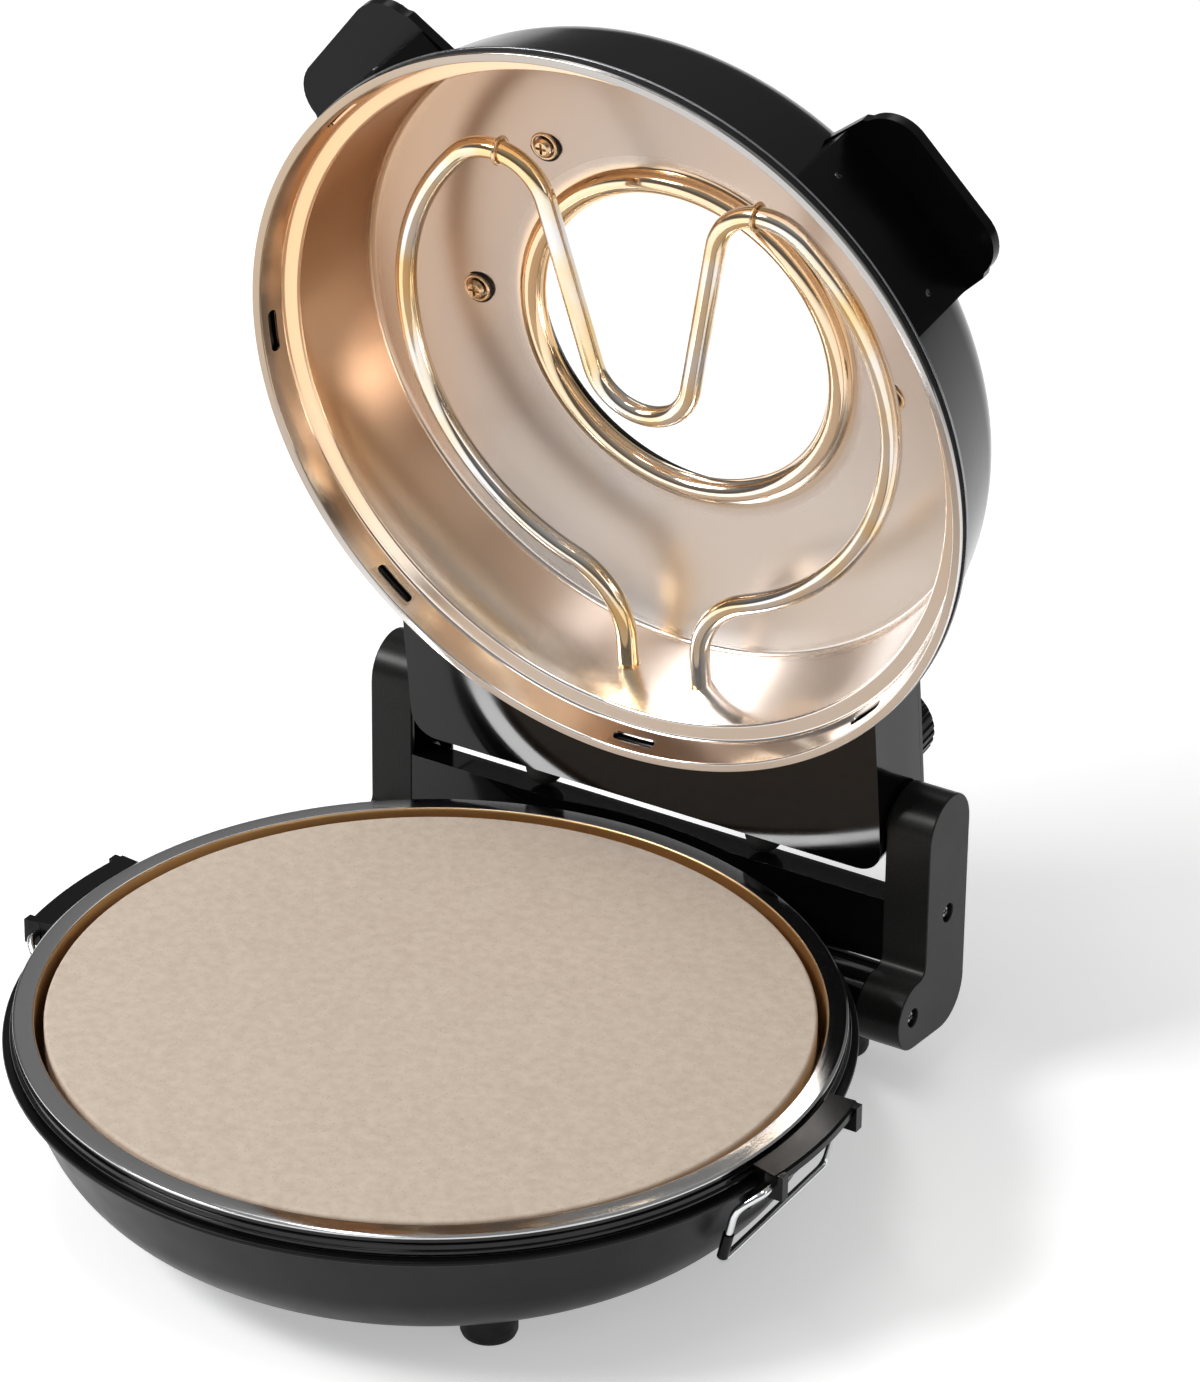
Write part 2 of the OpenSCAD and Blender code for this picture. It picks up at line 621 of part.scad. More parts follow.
cover_fit = 0.2;
vent_n = 14;
module rear_cover() color("#1c1c1d") in_place() difference() {
  translate([-cover_x + cover_fit, back_y - case_wall, cover_low + cover_fit])
    cube([2 * (cover_x - cover_fit), case_wall, cover_high - cover_low - 2 * cover_fit]);
  for (i = [0:vent_n - 1]) translate([-cover_x + 24 + i * 6, back_y - case_wall - cut, cover_low + 8])
    cube([3, case_wall + 2 * cut, cover_high - cover_low - 16]);
  inlet_place() inlet_box(0.1);
  rear_cover_screw_places() rotate([90, 0, 0])
    translate([0, 0, -cut]) cylinder(r = screw_core_r + 0.05, h = case_wall + 2 * cut);
}
module rear_cover_screw_places() for (x = [-1, 1], z = [cover_low + 5, cover_high - 5])
  translate([x * (cover_x - 5), back_y, z]) children();
module rear_cover_screws() color("#6a6c6e") in_place() rear_cover_screw_places()
  translate([0, screw_head_t, 0]) rotate([-90, 0, 0]) screw(screw_head_t + case_wall + 4);

// Bolts from inside the shell into the rear housing, along the shell's outward normal.
// They pass under the reflector's slanted edge, so their place follows the pan's floor.
bolt_under = 2.15;
bolt_depth = pan_floor + bolt_under;
bolt_head_gap = 0.15;
bolt_on_taper = bolt_depth < taper_end;
bolt_lean = bolt_on_taper ? bowl_taper : asin((bolt_depth - bend_depth) / bowl_bend);
bolt_wall_r = bolt_on_taper ? shell_r - (bolt_depth - flange_bottom) * tan(bowl_taper)
  : bend_r0 + bowl_bend * cos(bolt_lean);
module bolt_places() for (a = [-32, 32]) rotate(a)
  translate([0, bolt_wall_r - shell_wall / cos(bolt_lean) - bolt_head_gap, ring_z - bolt_depth])
    rotate([-90 - bolt_lean, 0, 0]) children();
module housing_bolts() color("#8d8f92") in_place() bolt_places() rotate([180, 0, 0])
  translate([0, 0, screw_head_t]) screw(12);

inlet_w = 30;
inlet_tall = 22;
inlet_deep = 16;
module inlet_place() translate([cover_x - 40, back_y, (cover_low + cover_high) / 2]) children();
module inlet_box(g) translate([-inlet_w / 2 + 2 - g, -inlet_deep, -inlet_tall / 2 + 2 - g])
  cube([inlet_w - 4 + 2 * g, inlet_deep + cut, inlet_tall - 4 + 2 * g]);
module power_inlet() color("#111111") in_place() inlet_place() difference() {
  union() {
    translate([-inlet_w / 2, 0, -inlet_tall / 2]) cube([inlet_w, 1.8, inlet_tall]);
    translate([-inlet_w / 2 + 2, -inlet_deep, -inlet_tall / 2 + 2])
      cube([inlet_w - 4, inlet_deep + 0.5, inlet_tall - 4]);
  }
  translate([-inlet_w / 2 + 4.5, -inlet_deep + 2.5, -inlet_tall / 2 + 4.5])
    cube([inlet_w - 9, inlet_deep + 2, inlet_tall - 9]);
}
module inlet_pins() color("#c9b26a") in_place() inlet_place()
  for (x = [-7, 0, 7]) translate([x - 1, -inlet_deep + 2.5, x == 0 ? 0.2 : -3.2]) cube([2, 11, 3]);

upper_screw = [cheek_y + 1, ring_z - 7.5];
lower_screw = [lobe_y - 2.5, ring_z - 44.8];
module cheek_screw_places() for (p = [upper_screw, lower_screw]) translate([0, p[0], p[1]]) children();
recess_r = cheek_screw_d / 2 + 0.9;
// The right cheek; the left one is its mirror image
module cheek() difference() {
  union() {
    difference() {
      along_right(cheek_x, cheek_w) polygon(cheek_outline(0));
      along_right(cheek_x - cut, cheek_w - case_wall + cut) polygon(cheek_outline(case_wall));
    }
    cheek_screw_places() x_bar(cheek_x, cheek_x + cheek_w - 1, 0, 0, recess_r + 2);
    x_bar(cheek_x, cheek_x + cheek_w - 1, hinge_y, hinge_z, pin_boss_r);
  }
  cheek_screw_places() {
    x_bar(cheek_x - cut, cheek_x + cheek_w, 0, 0, screw_core_r + 0.05);
    x_bar(cheek_x + cheek_w - cheek_recess - screw_head_t, cheek_x + cheek_w + cut, 0, 0, recess_r);
  }
  x_bar(cheek_x - cut, cheek_x + cheek_w - case_wall - 1, hinge_y, hinge_z, pin_r + 0.02);
}
module along_right(x0, w) translate([x0, 0, 0]) rotate([90, 0, 90]) linear_extrude(height = w) children();
module right_cheek() color("#4a4b4d") in_place() cheek();
module left_cheek() color("#4a4b4d") in_place() mirror([1, 0, 0]) cheek();
module cheek_screws() color("#55575a") in_place() both_sides() cheek_screw_places()
  translate([cheek_x + cheek_w - cheek_recess, 0, 0]) rotate([0, 90, 0])
    screw(cheek_w - cheek_recess + 5, cheek_screw_d / 2);

module hinge_pins() color("#9fa2a5") in_place() both_sides() difference() {
  x_bar(bracket_x - pin_reach, cheek_x + cheek_w - case_wall - 1.2, hinge_y, hinge_z, pin_r);
  translate([bracket_x - pin_reach + 1.5, hinge_y, hinge_z]) rotate([0, 90, 0])
    ring(pin_r - 1, pin_r + cut, 1.1);
}
module hinge_washers() color("#e6e2d6") in_place() both_sides()
  translate([cheek_x - washer_t, hinge_y, hinge_z]) rotate([0, 90, 0])
    ring(pin_r + 0.05, pin_boss_r + 1, washer_t);
module pin_clips() color("#7c7f83") in_place() both_sides()
  translate([bracket_x - pin_reach + 1.55, hinge_y, hinge_z]) rotate([0, 90, 0]) difference() {
    ring(pin_r - 0.98, pin_r + 3, 1);
    translate([-1.5, 0, -cut]) cube([3, pin_r + 4, 3]);
  }

// ---------------------------------------------------------------- grips and bails

grip_gap = 0.2;
grip_r = flange_r + grip_reach;
bail_pivot_x = flange_r + bail_pivot_out;
bail_bar_x = flange_r - bail_bar_in;
lug_t = 4.5;
lug_y = (flange_r + 5) * sin(grip_span) - lug_t;
lug_deep = 11;
// The right grip: a curved plate hooked over the flange, with a lug at each end
module grip() on_ring() difference() {
  union() {
    rotate([0, 0, -grip_span]) rotate_extrude(angle = 2 * grip_span) polygon([
      [trim_r + grip_gap, -grip_drop], [grip_r - 1, -grip_drop - 0.8], [grip_r, -grip_drop - 1.8],
      [grip_r, -grip_drop - grip_t - 0.8], [flange_r + 3, -grip_drop - grip_t - 0.8],
      [flange_r + 2.4, -flange_bottom - 3], [shell_r - 2, -flange_bottom - 13],
      [shell_r - 12.6 * tan(bowl_taper), -flange_bottom - 12.6],
      [shell_r + 0.1, -flange_bottom - grip_gap], [flange_r + grip_gap, -flange_bottom - grip_gap],
      [flange_r + grip_gap, -flange_drop + grip_gap], [trim_r + grip_gap, -flange_drop + grip_gap]]);
    for (s = [-1, 1]) translate([flange_r + 0.4, s > 0 ? lug_y : -lug_y - lug_t, -grip_drop - 1.2 - lug_deep])
      cube([grip_r - flange_r - 0.8, lug_t, lug_deep]);
  }
  translate([bail_pivot_x, 0, -bail_pivot_drop]) rotate([90, 0, 0])
    translate([0, 0, -lug_y - lug_t - cut]) cylinder(r = bail_wire / 2 + 0.05, h = 2 * (lug_y + lug_t + cut));
  grip_screw_places() translate([0, 0, -6]) cylinder(r = screw_core_r + 0.05, h = 12);
}
grip_screw_depth = flange_bottom + 8;
grip_screw_r = shell_r - (grip_screw_depth - flange_bottom) * tan(bowl_taper) - shell_wall;
module grip_screw_places() for (a = [-6, 6]) rotate(a) translate([grip_screw_r, 0, -grip_screw_depth])
    rotate([0, 90 + bowl_taper, 0]) children();
module on_left() rotate(-left_turn) mirror([1, 0, 0]) children();
module right_grip() color("#161617") in_place() grip();
module left_grip() color("#161617") in_place() on_left() grip();
module grip_screw_pair() on_ring() grip_screw_places()
  rotate([180, 0, 0]) translate([0, 0, screw_head_t + 0.2]) screw(7);
module grip_screws() color("#8d8f92") in_place() {
  grip_screw_pair();
  on_left() grip_screw_pair();
}

// The right bail: two pins in the grip's lugs, two bent legs and a straight bar
bail_pin = [bail_pivot_x, lug_y + lug_t + 2.4, ring_z - bail_pivot_drop];
bail_elbow = [mix(bail_pivot_x, bail_bar_x, 0.6), bail_leg_y + 0.5, ring_z - bail_pivot_drop - 8];
bail_corner = [bail_bar_x, bail_leg_y - 0.5, ring_z - bail_drop];
sleeve_top = mix(bail_corner, bail_elbow, 0.55);
function in_front(p) = [p[0], -p[1], p[2]];
module bail() {
  r = bail_wire / 2;
  for (f = [0, 1]) mirror([0, f, 0]) {
    translate([bail_pivot_x, lug_y - 1.5, ring_z - bail_pivot_drop]) rotate([-90, 0, 0])
      cylinder(r = r, h = lug_t + 3.9);
    rod(bail_pin, bail_elbow, r);
    rod(bail_elbow, bail_corner, r);
  }
  rod(in_front(bail_corner), bail_corner, r);
}
module right_bail() color("#c4c6c8") in_place() bail();
module left_bail() color("#c4c6c8") in_place() on_left() bail();
module bail_sleeve() {
  a = in_front(mix(bail_corner, bail_elbow, 0.12));
  b = in_front(sleeve_top);
  d = b - a;
  translate(a) rotate([0, acos(d[2] / norm(d)), atan2(d[1], d[0])])
    ring(bail_wire / 2 + 0.02, bail_wire / 2 + 0.7, norm(d));
}
module right_bail_sleeve() color("#131313") in_place() bail_sleeve();
module left_bail_sleeve() color("#131313") in_place() on_left() bail_sleeve();

// ---------------------------------------------------------------- lid

// The liner's inner face, moved out by o: from the rim up the wall, over the roof to the bead
function liner_face(o) = concat(
  [[rim_in_r + 0.6 * o, o], [rim_in_r - 0.6 + o, 0.8 + o], [rim_r - 7.2 + o, step_h - 2.4],
   [rim_r - 8 + o, step_h - 1 + 0.5 * o], [step_r + 1.4 + 0.5 * o, step_h + o],
   [step_r + o, step_h + 1.6 + 0.5 * o], [wall_top_r + 0.35 + o, wall_h - 2.6],
   [wall_top_r - 1 + 0.7 * o, wall_h + 0.7 * o], [wall_top_r - 3, roof_at(wall_top_r - 3) + o]],
  [[bead_r + 2, roof_h + o]],
  arc([window_r + bead_w / 2, roof_h + o], bead_w / 2 - 0.6 + o * 0.2, 0, -180, 12),
  [[window_r, roof_h + o]]);
module lid_liner() color("#c8b7a4") in_place() on_lid() difference() {
  revolve(concat(
    [[rim_r - 0.4, 0], [rim_r, 0.4], [rim_r, 1.4], [rim_in_r + 0.6 * liner_wall, 1.4]],
    slice_from(liner_face(liner_wall), 1), flip(liner_face(0))));
  for (i = [0:slot_n - 1]) rotate(360 * i / slot_n - lid_turn) slot();
  for (s = [-1, 1]) translate([s * tail_x, step_r - 14, heater_h]) rotate([-90, 0, 0])
    cylinder(r = bushing_r + 0.05, h = 30);
  liner_screw_places() translate([0, 0, -3]) cylinder(r = screw_core_r + 0.05, h = 8);
  clip_places() cylinder(r = clip_stem / 2 + 0.05, h = clip_roof - clip_z + 5);
}
function slice_from(p, k) = [for (i = [k:len(p) - 1]) p[i]];
module slot() translate([rim_r - 12, 0, 6]) rotate([0, 90, 0]) {
  end = (slot_len - slot_h) / 2;
  translate([-slot_h / 2, -end, 0]) cube([slot_h, 2 * end, 24]);
  for (s = [-1, 1]) translate([0, s * end, 0]) cylinder(r = slot_h / 2, h = 24);
}

// The cover's outside, moved in by o, from its edge to the top
function cover_face(o) = concat(
  [[cover_side_r - o / cos(side_lean), cover_edge_h + 1.2]],
  arc([shoulder_c, shoulder_h], shoulder_r - o, side_lean, 90, 16));
module cover_envelope(g) revolve(concat([[0, 0], [cover_side_r + g, 0]], cover_face(-g), [[0, cover_h + g]]));
module lid_cover() color("#17171a") in_place() on_lid() difference() {
  revolve(concat(
    [[cover_r, cover_edge_h], [cover_r, cover_edge_h + 1.2]], cover_face(0),
    [[cover_hole_r, cover_h], [cover_hole_r, cover_h - cover_wall]],
    flip(cover_face(cover_wall)), [[cover_side_r - cover_wall, cover_edge_h]]));
  // Way for the heater's ends into the bracket
  translate([-32, step_r, heater_h - 9]) cube([64, 40, 18]);
  rotate(-lid_turn) both_sides() ear_frame() ear_screw_places()
    translate([0, 0, -4]) cylinder(r = screw_core_r + 0.05, h = 12);
}

module lid_gasket() color("#0c0c0c") in_place() on_lid()
  revolve([[rim_r - 2.6, 1.4], [rim_r - 0.7, 1.4], [rim_r - 0.7, cover_edge_h], [rim_r - 2.6, cover_edge_h]]);

module window_glass() color([0.8, 0.85, 0.85, 0.35]) in_place() on_lid()
  translate([0, 0, glass_h]) cylinder(r = glass_r, h = glass_t);
gasket_h = cover_h - cover_wall - glass_h - glass_t;
module window_gasket() color("#2a2a2a") in_place() on_lid()
  translate([0, 0, glass_h + glass_t]) ring(cover_hole_r + 0.3, glass_r, gasket_h);
module window_bezel() color("#101012") in_place() on_lid()
  revolve([[cover_hole_r - bezel_in, cover_h], [bezel_out_r, cover_h],
           [bezel_out_r - 1, cover_h + bezel_t], [cover_hole_r - bezel_in + 1, cover_h + bezel_t]]);

// Upper heater, seen from above with the front at -Y: the right half, from tail to middle
sweep_c = [0, -sweep_ahead];
tail_c = [tail_x + tail_r, -sweep_ahead + sqrt(pow(sweep_r + tail_r, 2) - pow(tail_x + tail_r, 2))];
tail_a = atan2(tail_c[1] - sweep_c[1], tail_c[0]);
loop_a = -asin((loop_front - sweep_ahead - loop_r) / (sweep_r - loop_r));
loop_c = sweep_c + (sweep_r - loop_r) * [cos(loop_a), sin(loop_a)];
mid_c = [0, -mid_ahead];
leg_a = atan2(mid_c[1] - loop_c[1], mid_c[0] - loop_c[0])
  - asin((loop_r + mid_r) / norm(loop_c - mid_c));
heater_end = 166;
function outer_h(y) = heater_h - loop_dip * max(0, -y) / loop_front;
function inner_h(y) = heater_h
  - mix(mid_dip, loop_dip, (mid_r - mid_ahead - y) / (mid_r - mid_ahead + loop_front));
half_outer = [for (p = concat([[tail_x, heater_end], [tail_x, tail_c[1]]],
    arc(tail_c, tail_r, 180, 180 + tail_a, 8), arc(sweep_c, sweep_r, tail_a, loop_a, 20),
    arc(loop_c, loop_r, loop_a, -90, 5))) [p[0], p[1], outer_h(p[1])]];
half_inner = [for (p = concat(arc(loop_c, loop_r, -90, leg_a - 270, 8),
    arc(mid_c, mid_r, leg_a - 90, 90, 6))) [p[0], p[1], inner_h(p[1])]];
function drop_twins(p) = [for (i = [0:len(p) - 1]) if (i == 0 || norm(p[i] - p[max(i - 1, 0)]) > 0.05) p[i]];
heater_half = drop_twins(concat(half_outer, half_inner));
heater_path = drop_twins(concat(heater_half, flip(mirror_x(heater_half))));
module upper_heater() color("#b8a890") in_place() on_lid() tube(heater_path, heater_d / 2, 12);

// A wire ring around the tube at each front loop, with a stem up through the roof
clip_r = heater_d / 2 + clip_wire / 2 + 0.1;
clip_x = loop_c[0] - clip_in;
clip_y = loop_c[1] - sqrt(pow(loop_r, 2) - pow(clip_in, 2));
clip_z = heater_h - loop_dip;
function roof_at(r) = mix(roof_h, wall_h + 1.2, (r - bead_r - 2) / (wall_top_r - 1.5 - bead_r - 2));
clip_roof = roof_at(norm([clip_x, clip_y]));
module clip_places() for (s = [-1, 1]) translate([s * clip_x, clip_y, clip_z]) children();
module heater_clips() color("#b59a70") in_place() on_lid() clip_places() {
  rotate([0, 90, 0]) rotate_extrude($fn = 48) translate([clip_r, 0]) circle(r = clip_wire / 2, $fn = 24);
  translate([0, 0, clip_r]) cylinder(r = clip_stem / 2, h = clip_roof - clip_z - clip_r + 3, $fn = 24);
}
bushing_wall = 1;
bushing_collar = 3;
bushing_r = heater_d / 2 + bushing_wall;
module heater_bushings() color("#a09684") in_place() on_lid() for (s = [-1, 1])
  translate([s * tail_x, step_r - wall_lean / 2 - 1, heater_h]) rotate([-90, 0, 0]) {
    ring(heater_d / 2 + 0.05, bushing_r, 12);
    translate([0, 0, 5]) ring(bushing_r - 0.1, bushing_r + bushing_collar, 2);
  }
module heater_terminals() color("#c2a35a") in_place() on_lid() for (s = [-1, 1])
  translate([s * tail_x, heater_end, heater_h]) {
    rotate([-90, 0, 0]) cylinder(r = 1.8, h = 6);
    translate([-3, 5, -0.5]) cube([6, 9, 1]);
  }

// Three screws through the roof, heads on the inside
liner_screw_r = 99.5;
roof_tilt = atan((roof_at(bead_r) - roof_at(wall_top_r)) / (wall_top_r - bead_r));
module liner_screw_places() for (a = [-90, -37.5, 90]) rotate(a)
  translate([0, -liner_screw_r, roof_at(liner_screw_r)]) rotate([roof_tilt, 0, 0]) children();
module liner_screws() color("#b08a58") in_place() on_lid() liner_screw_places()
  translate([0, 0, -2.6]) rotate([180, 0, 0]) {
    screw(6.4, 4.4);
    translate([0, 0, -2.6]) cylinder(r = 2.6, h = 0.7);
  }

// ---------------------------------------------------------------- bracket and controls

module bracket_plan(o) polygon(concat(
  [[-bracket_x + o, 90], [bracket_x - o, 90]],
  arc([bracket_x - bracket_corner, bracket_reach - bracket_corner], bracket_corner - o, 0, 90, 8),
  arc([-bracket_x + bracket_corner, bracket_reach - bracket_corner], bracket_corner - o, 90, 180, 8)));
module bracket_block(o, low, high) translate([0, 0, low]) linear_extrude(height = high - low) bracket_plan(o);
panel_low = bracket_top - panel_t;
module lid_bracket() color("#151516") in_place() on_lid() difference() {
  union() {
    difference() {
      bracket_block(0, bracket_low, panel_low);
      bracket_block(case_wall, bracket_low + case_wall, panel_low + cut);
    }
    both_sides() x_bar(bracket_x - case_wall - boss_len, bracket_x - 1, hinge_y, pivot_h, pin_boss_r);
    panel_screw_places() translate([0, 0, bracket_low + 1])
      cylinder(r = 4, h = panel_low - bracket_low - 1);
  }
  cover_envelope(0.05);
  both_sides() x_bar(bracket_x - 20, bracket_x + cut, hinge_y, pivot_h, pin_r + pin_clearance);
  panel_screw_places() translate([0, 0, panel_low - 10]) cylinder(r = screw_core_r + 0.05, h = 12);
  for (s = [-1, 1]) translate([s * bumper_x, bracket_reach - case_wall - cut, bumper_h])
    rotate([-90, 0, 0]) cylinder(r = 3.05, h = case_wall + 2 * cut);
}
module panel_screw_places() for (x = [-60, 60]) translate([x, bracket_reach - 9, 0]) children();
module control_panel() color("#19191b") in_place() on_lid() difference() {
  bracket_block(0, panel_low, bracket_top);
  cover_envelope(0.05);
  for (s = [-1, 1]) translate([s * knob_x, knob_y, panel_low - cut])
    cylinder(r = shaft_d / 2 + 0.05, h = panel_t + 2 * cut);
  for (s = [-1, 1]) translate([s * lamp_x, lamp_y, panel_low - cut])
    cylinder(r = lamp_r + 0.05, h = panel_t + 2 * cut);
  panel_screw_places() translate([0, 0, panel_low - cut])
    cylinder(r = screw_core_r + 0.05, h = panel_t + 2 * cut);
}
module panel_screws() color("#55575a") in_place() on_lid() panel_screw_places()
  translate([0, 0, bracket_top + screw_head_t]) screw(screw_head_t + panel_t + 7);

module stop_bumpers() color("#0e0e0e") in_place() on_lid() for (s = [-1, 1])
  translate([s * bumper_x, bracket_reach, bumper_h]) rotate([-90, 0, 0]) {
    revolve(concat([[0, 0], [bumper_r, 0]],
      arc([0, bumper_len - bumper_r], bumper_r, 0, 90, 12)));
    translate([0, 0, -case_wall - 2]) cylinder(r = 3, h = case_wall + 3);
  }

lamp_x = 14;
lamp_r = 3.5;
lamp_y = bracket_reach - 22;
module lamp() {
  translate([0, 0, panel_low - 3]) cylinder(r = lamp_r, h = panel_t + 3.6);
  translate([0, 0, panel_low - 3]) cylinder(r = lamp_r + 1.5, h = 3);
}
module power_lamp() color("#b3261e") in_place() on_lid() translate([lamp_x, lamp_y, 0]) lamp();
module ready_lamp() color("#2f8f3e") in_place() on_lid() translate([-lamp_x, lamp_y, 0]) lamp();

unit_side = 34;
unit_deep = 24;
unit_gap = 0.3;
unit_low = panel_low - unit_deep - unit_gap;
module timer_unit() color("#d8d4c8") in_place() on_lid() translate([knob_x, knob_y, unit_low])
  difference() {
    translate([-unit_side / 2 - 1, -unit_side / 2, 0]) cube([unit_side - 1, unit_side - 4, unit_deep]);
    translate([0, 0, 4]) cylinder(r = shaft_d / 2 + 0.05, h = unit_deep);
  }
module thermostat_unit() color("#cfc9ba") in_place() on_lid() translate([-knob_x, knob_y, unit_low])
  difference() {
    cylinder(r = 15, h = unit_deep);
    translate([0, 0, 4]) cylinder(r = shaft_d / 2 + 0.05, h = unit_deep);
  }
rib_n = 30;
// A ribbed knob whose shaft runs down through the panel
module knob() translate([0, 0, knob_low]) difference() {
  revolve([[shaft_d / 2, 0], [knob_r, 0], [knob_r, knob_h - 1.5], [knob_r - 1.5, knob_h],
           [0, knob_h], [0, knob_h - 3], [shaft_d / 2, knob_h - 3]]);
  for (i = [0:rib_n - 1]) rotate(360 * i / rib_n)
    translate([knob_r + 0.5, 0, 2]) cylinder(r = 1.3, h = knob_h, $fn = 16);
  translate([-0.8, -knob_r + 3, knob_h - 0.8]) cube([1.6, 11, 2]);
}
module knob_shaft() translate([0, 0, panel_low - unit_deep + 6])
  cylinder(r = shaft_d / 2, h = unit_deep - 6 + panel_t + 0.6 + knob_h - 3);
module timer_knob() color("#1d1d1f") in_place() on_lid() translate([knob_x, knob_y, 0]) knob();
module timer_shaft() color("#a0a2a4") in_place() on_lid() translate([knob_x, knob_y, 0]) knob_shaft();
module thermostat_knob() color("#1d1d1f") in_place() on_lid() translate([-knob_x, knob_y, 0]) knob();
module thermostat_shaft() color("#a0a2a4") in_place() on_lid() translate([-knob_x, knob_y, 0]) knob_shaft();

// ---------------------------------------------------------------- ears

// Frame with +X pointing out of the lid along the right ear's middle
module ear_frame() rotate(ear_angle - 90) children();
module ear_plan() {
  tip = ear_tip_w / 2;
  root = ear_root_w / 2;
  polygon(concat(
    [[rim_r - 30, -root - 2], [rim_r + 4, -root]],
    arc([ear_tip_r - ear_corner, -tip + ear_corner], ear_corner, -84, -4, 8),
    arc([ear_tip_r - ear_corner, tip - ear_corner], ear_corner, 4, 84, 8),
    [[rim_r + 4, root], [rim_r - 30, root + 2]]));
}
// The right ear: a block on the cover's side that carries a flat plate
module ear() ear_frame() difference() {
  union() {
    translate([0, 0, ear_h]) linear_extrude(height = ear_t) ear_plan();
    intersection() {
      translate([rim_r - 50, -ear_root_w / 2, cover_edge_h + 1.4])
        cube([60, ear_root_w, ear_h - cover_edge_h]);
      cylinder(r = rim_r + 0.2, h = ear_h + 2);
    }
  }
  cover_envelope(0.05);
  ear_screw_places() translate([0, 0, -4]) cylinder(r = screw_core_r + 0.05, h = 18);
}
ear_screw_h = 22;
ear_screw_inset = cover_wall + screw_head_t + 0.2;
module ear_screw_places() for (a = [-10, 10]) rotate(a)
  translate([cover_side_r - (ear_screw_h - cover_edge_h - 1.2) * tan(side_lean), 0, ear_screw_h])
    rotate([0, 90 - side_lean, 0]) translate([0, 0, -ear_screw_inset]) children();
module right_ear() color("#131314") in_place() on_lid() rotate(-lid_turn) ear();
module left_ear() color("#131314") in_place() on_lid() rotate(-lid_turn) mirror([1, 0, 0]) ear();
module ear_screws() color("#8d8f92") in_place() on_lid() rotate(-lid_turn) both_sides() ear_frame()
  ear_screw_places() rotate([180, 0, 0]) screw(10);

stone_plate();
base_pan();
reflector_pan();
trim_ring();
base_shell();
belly_cover();
belly_screws();
front_feet();
rear_feet();
foot_screws();
stone_rests();
lower_heater();
lower_heater_seals();
limit_thermostat();
rear_housing();
rear_cover();
rear_cover_screws();
housing_bolts();
power_inlet();
inlet_pins();
left_cheek();
right_cheek();
cheek_screws();
hinge_pins();
hinge_washers();
pin_clips();
left_grip();
right_grip();
grip_screws();
left_bail();
right_bail();
left_bail_sleeve();
right_bail_sleeve();
lid_liner();
lid_cover();
lid_gasket();
window_glass();
window_gasket();
window_bezel();
upper_heater();
heater_clips();
heater_bushings();
heater_terminals();
liner_screws();
lid_bracket();
control_panel();
panel_screws();
stop_bumpers();
left_ear();
right_ear();
ear_screws();
timer_unit();
thermostat_unit();
timer_knob();
timer_shaft();
thermostat_knob();
thermostat_shaft();
power_lamp();
ready_lamp();
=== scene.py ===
"""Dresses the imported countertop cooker: smooth shells, swept tubes, fasteners, finishes, light and camera."""
import json
import math

import bmesh
import bpy
from mathutils import Matrix, Vector


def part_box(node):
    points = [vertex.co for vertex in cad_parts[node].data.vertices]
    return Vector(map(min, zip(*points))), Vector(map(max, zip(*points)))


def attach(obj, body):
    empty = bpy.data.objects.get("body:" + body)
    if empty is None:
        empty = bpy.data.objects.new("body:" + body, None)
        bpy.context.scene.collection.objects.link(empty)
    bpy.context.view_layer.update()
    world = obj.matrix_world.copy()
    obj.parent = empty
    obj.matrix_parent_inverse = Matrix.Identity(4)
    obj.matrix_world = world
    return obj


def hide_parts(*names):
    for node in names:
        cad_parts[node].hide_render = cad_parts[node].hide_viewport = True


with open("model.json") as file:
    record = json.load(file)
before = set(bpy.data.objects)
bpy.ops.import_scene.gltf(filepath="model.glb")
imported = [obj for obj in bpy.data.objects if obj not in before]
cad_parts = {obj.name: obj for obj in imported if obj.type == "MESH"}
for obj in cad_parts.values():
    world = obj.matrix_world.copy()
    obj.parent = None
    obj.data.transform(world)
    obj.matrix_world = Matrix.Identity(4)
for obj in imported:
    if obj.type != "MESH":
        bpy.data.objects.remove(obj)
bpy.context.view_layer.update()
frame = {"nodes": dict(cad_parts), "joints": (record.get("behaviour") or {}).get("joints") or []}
nodes = frame["nodes"]
joints = {joint["name"]: joint for joint in frame["joints"]}

MM = 0.001

# ---------------------------------------------------------------- sizes in millimetres


def box_mm(node):
    """The low and high corners of a node's box, in millimetres."""
    low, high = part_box(node)
    return low / MM, high / MM


# Base: heights are from the steel ring's face, radii from the base's axis
pan_high = box_mm("base_pan")[1]
stone_min, stone_max = box_mm("stone_plate")
ring_z = pan_high.z
bevel_r = pan_high.x
ring_bevel = 1
ring_r = bevel_r - ring_bevel
stone_r = stone_max.x
stone_top = stone_max.z - ring_z
stone_low = stone_min.z - ring_z
trim_r = box_mm("trim_ring")[1].x
flange_r = box_mm("base_shell")[1].x
stone_gap = 3.9
pan_r = stone_r + stone_gap
pan_wall = 1.2
pan_depth = 34
flange_drop = 9.2
flange_low = 11.4
flange_w = 2.6
shell_r = flange_r - flange_w
shell_wall = 1.4
bowl_depth = 70
bowl_taper = 22.8
bowl_bend = 52
belly_hole_r = 90

# Hinge
axis_y = (stone_min.y + stone_max.y) / 2
hinge_y = joints["lid_hinge"]["pos_m"][1] / MM - axis_y
hinge_z = joints["lid_hinge"]["pos_m"][2] / MM
lid_open = max(joints["lid_hinge"]["range_deg"])
lid_gap = 0.3
pivot_h = hinge_z - ring_z - lid_gap

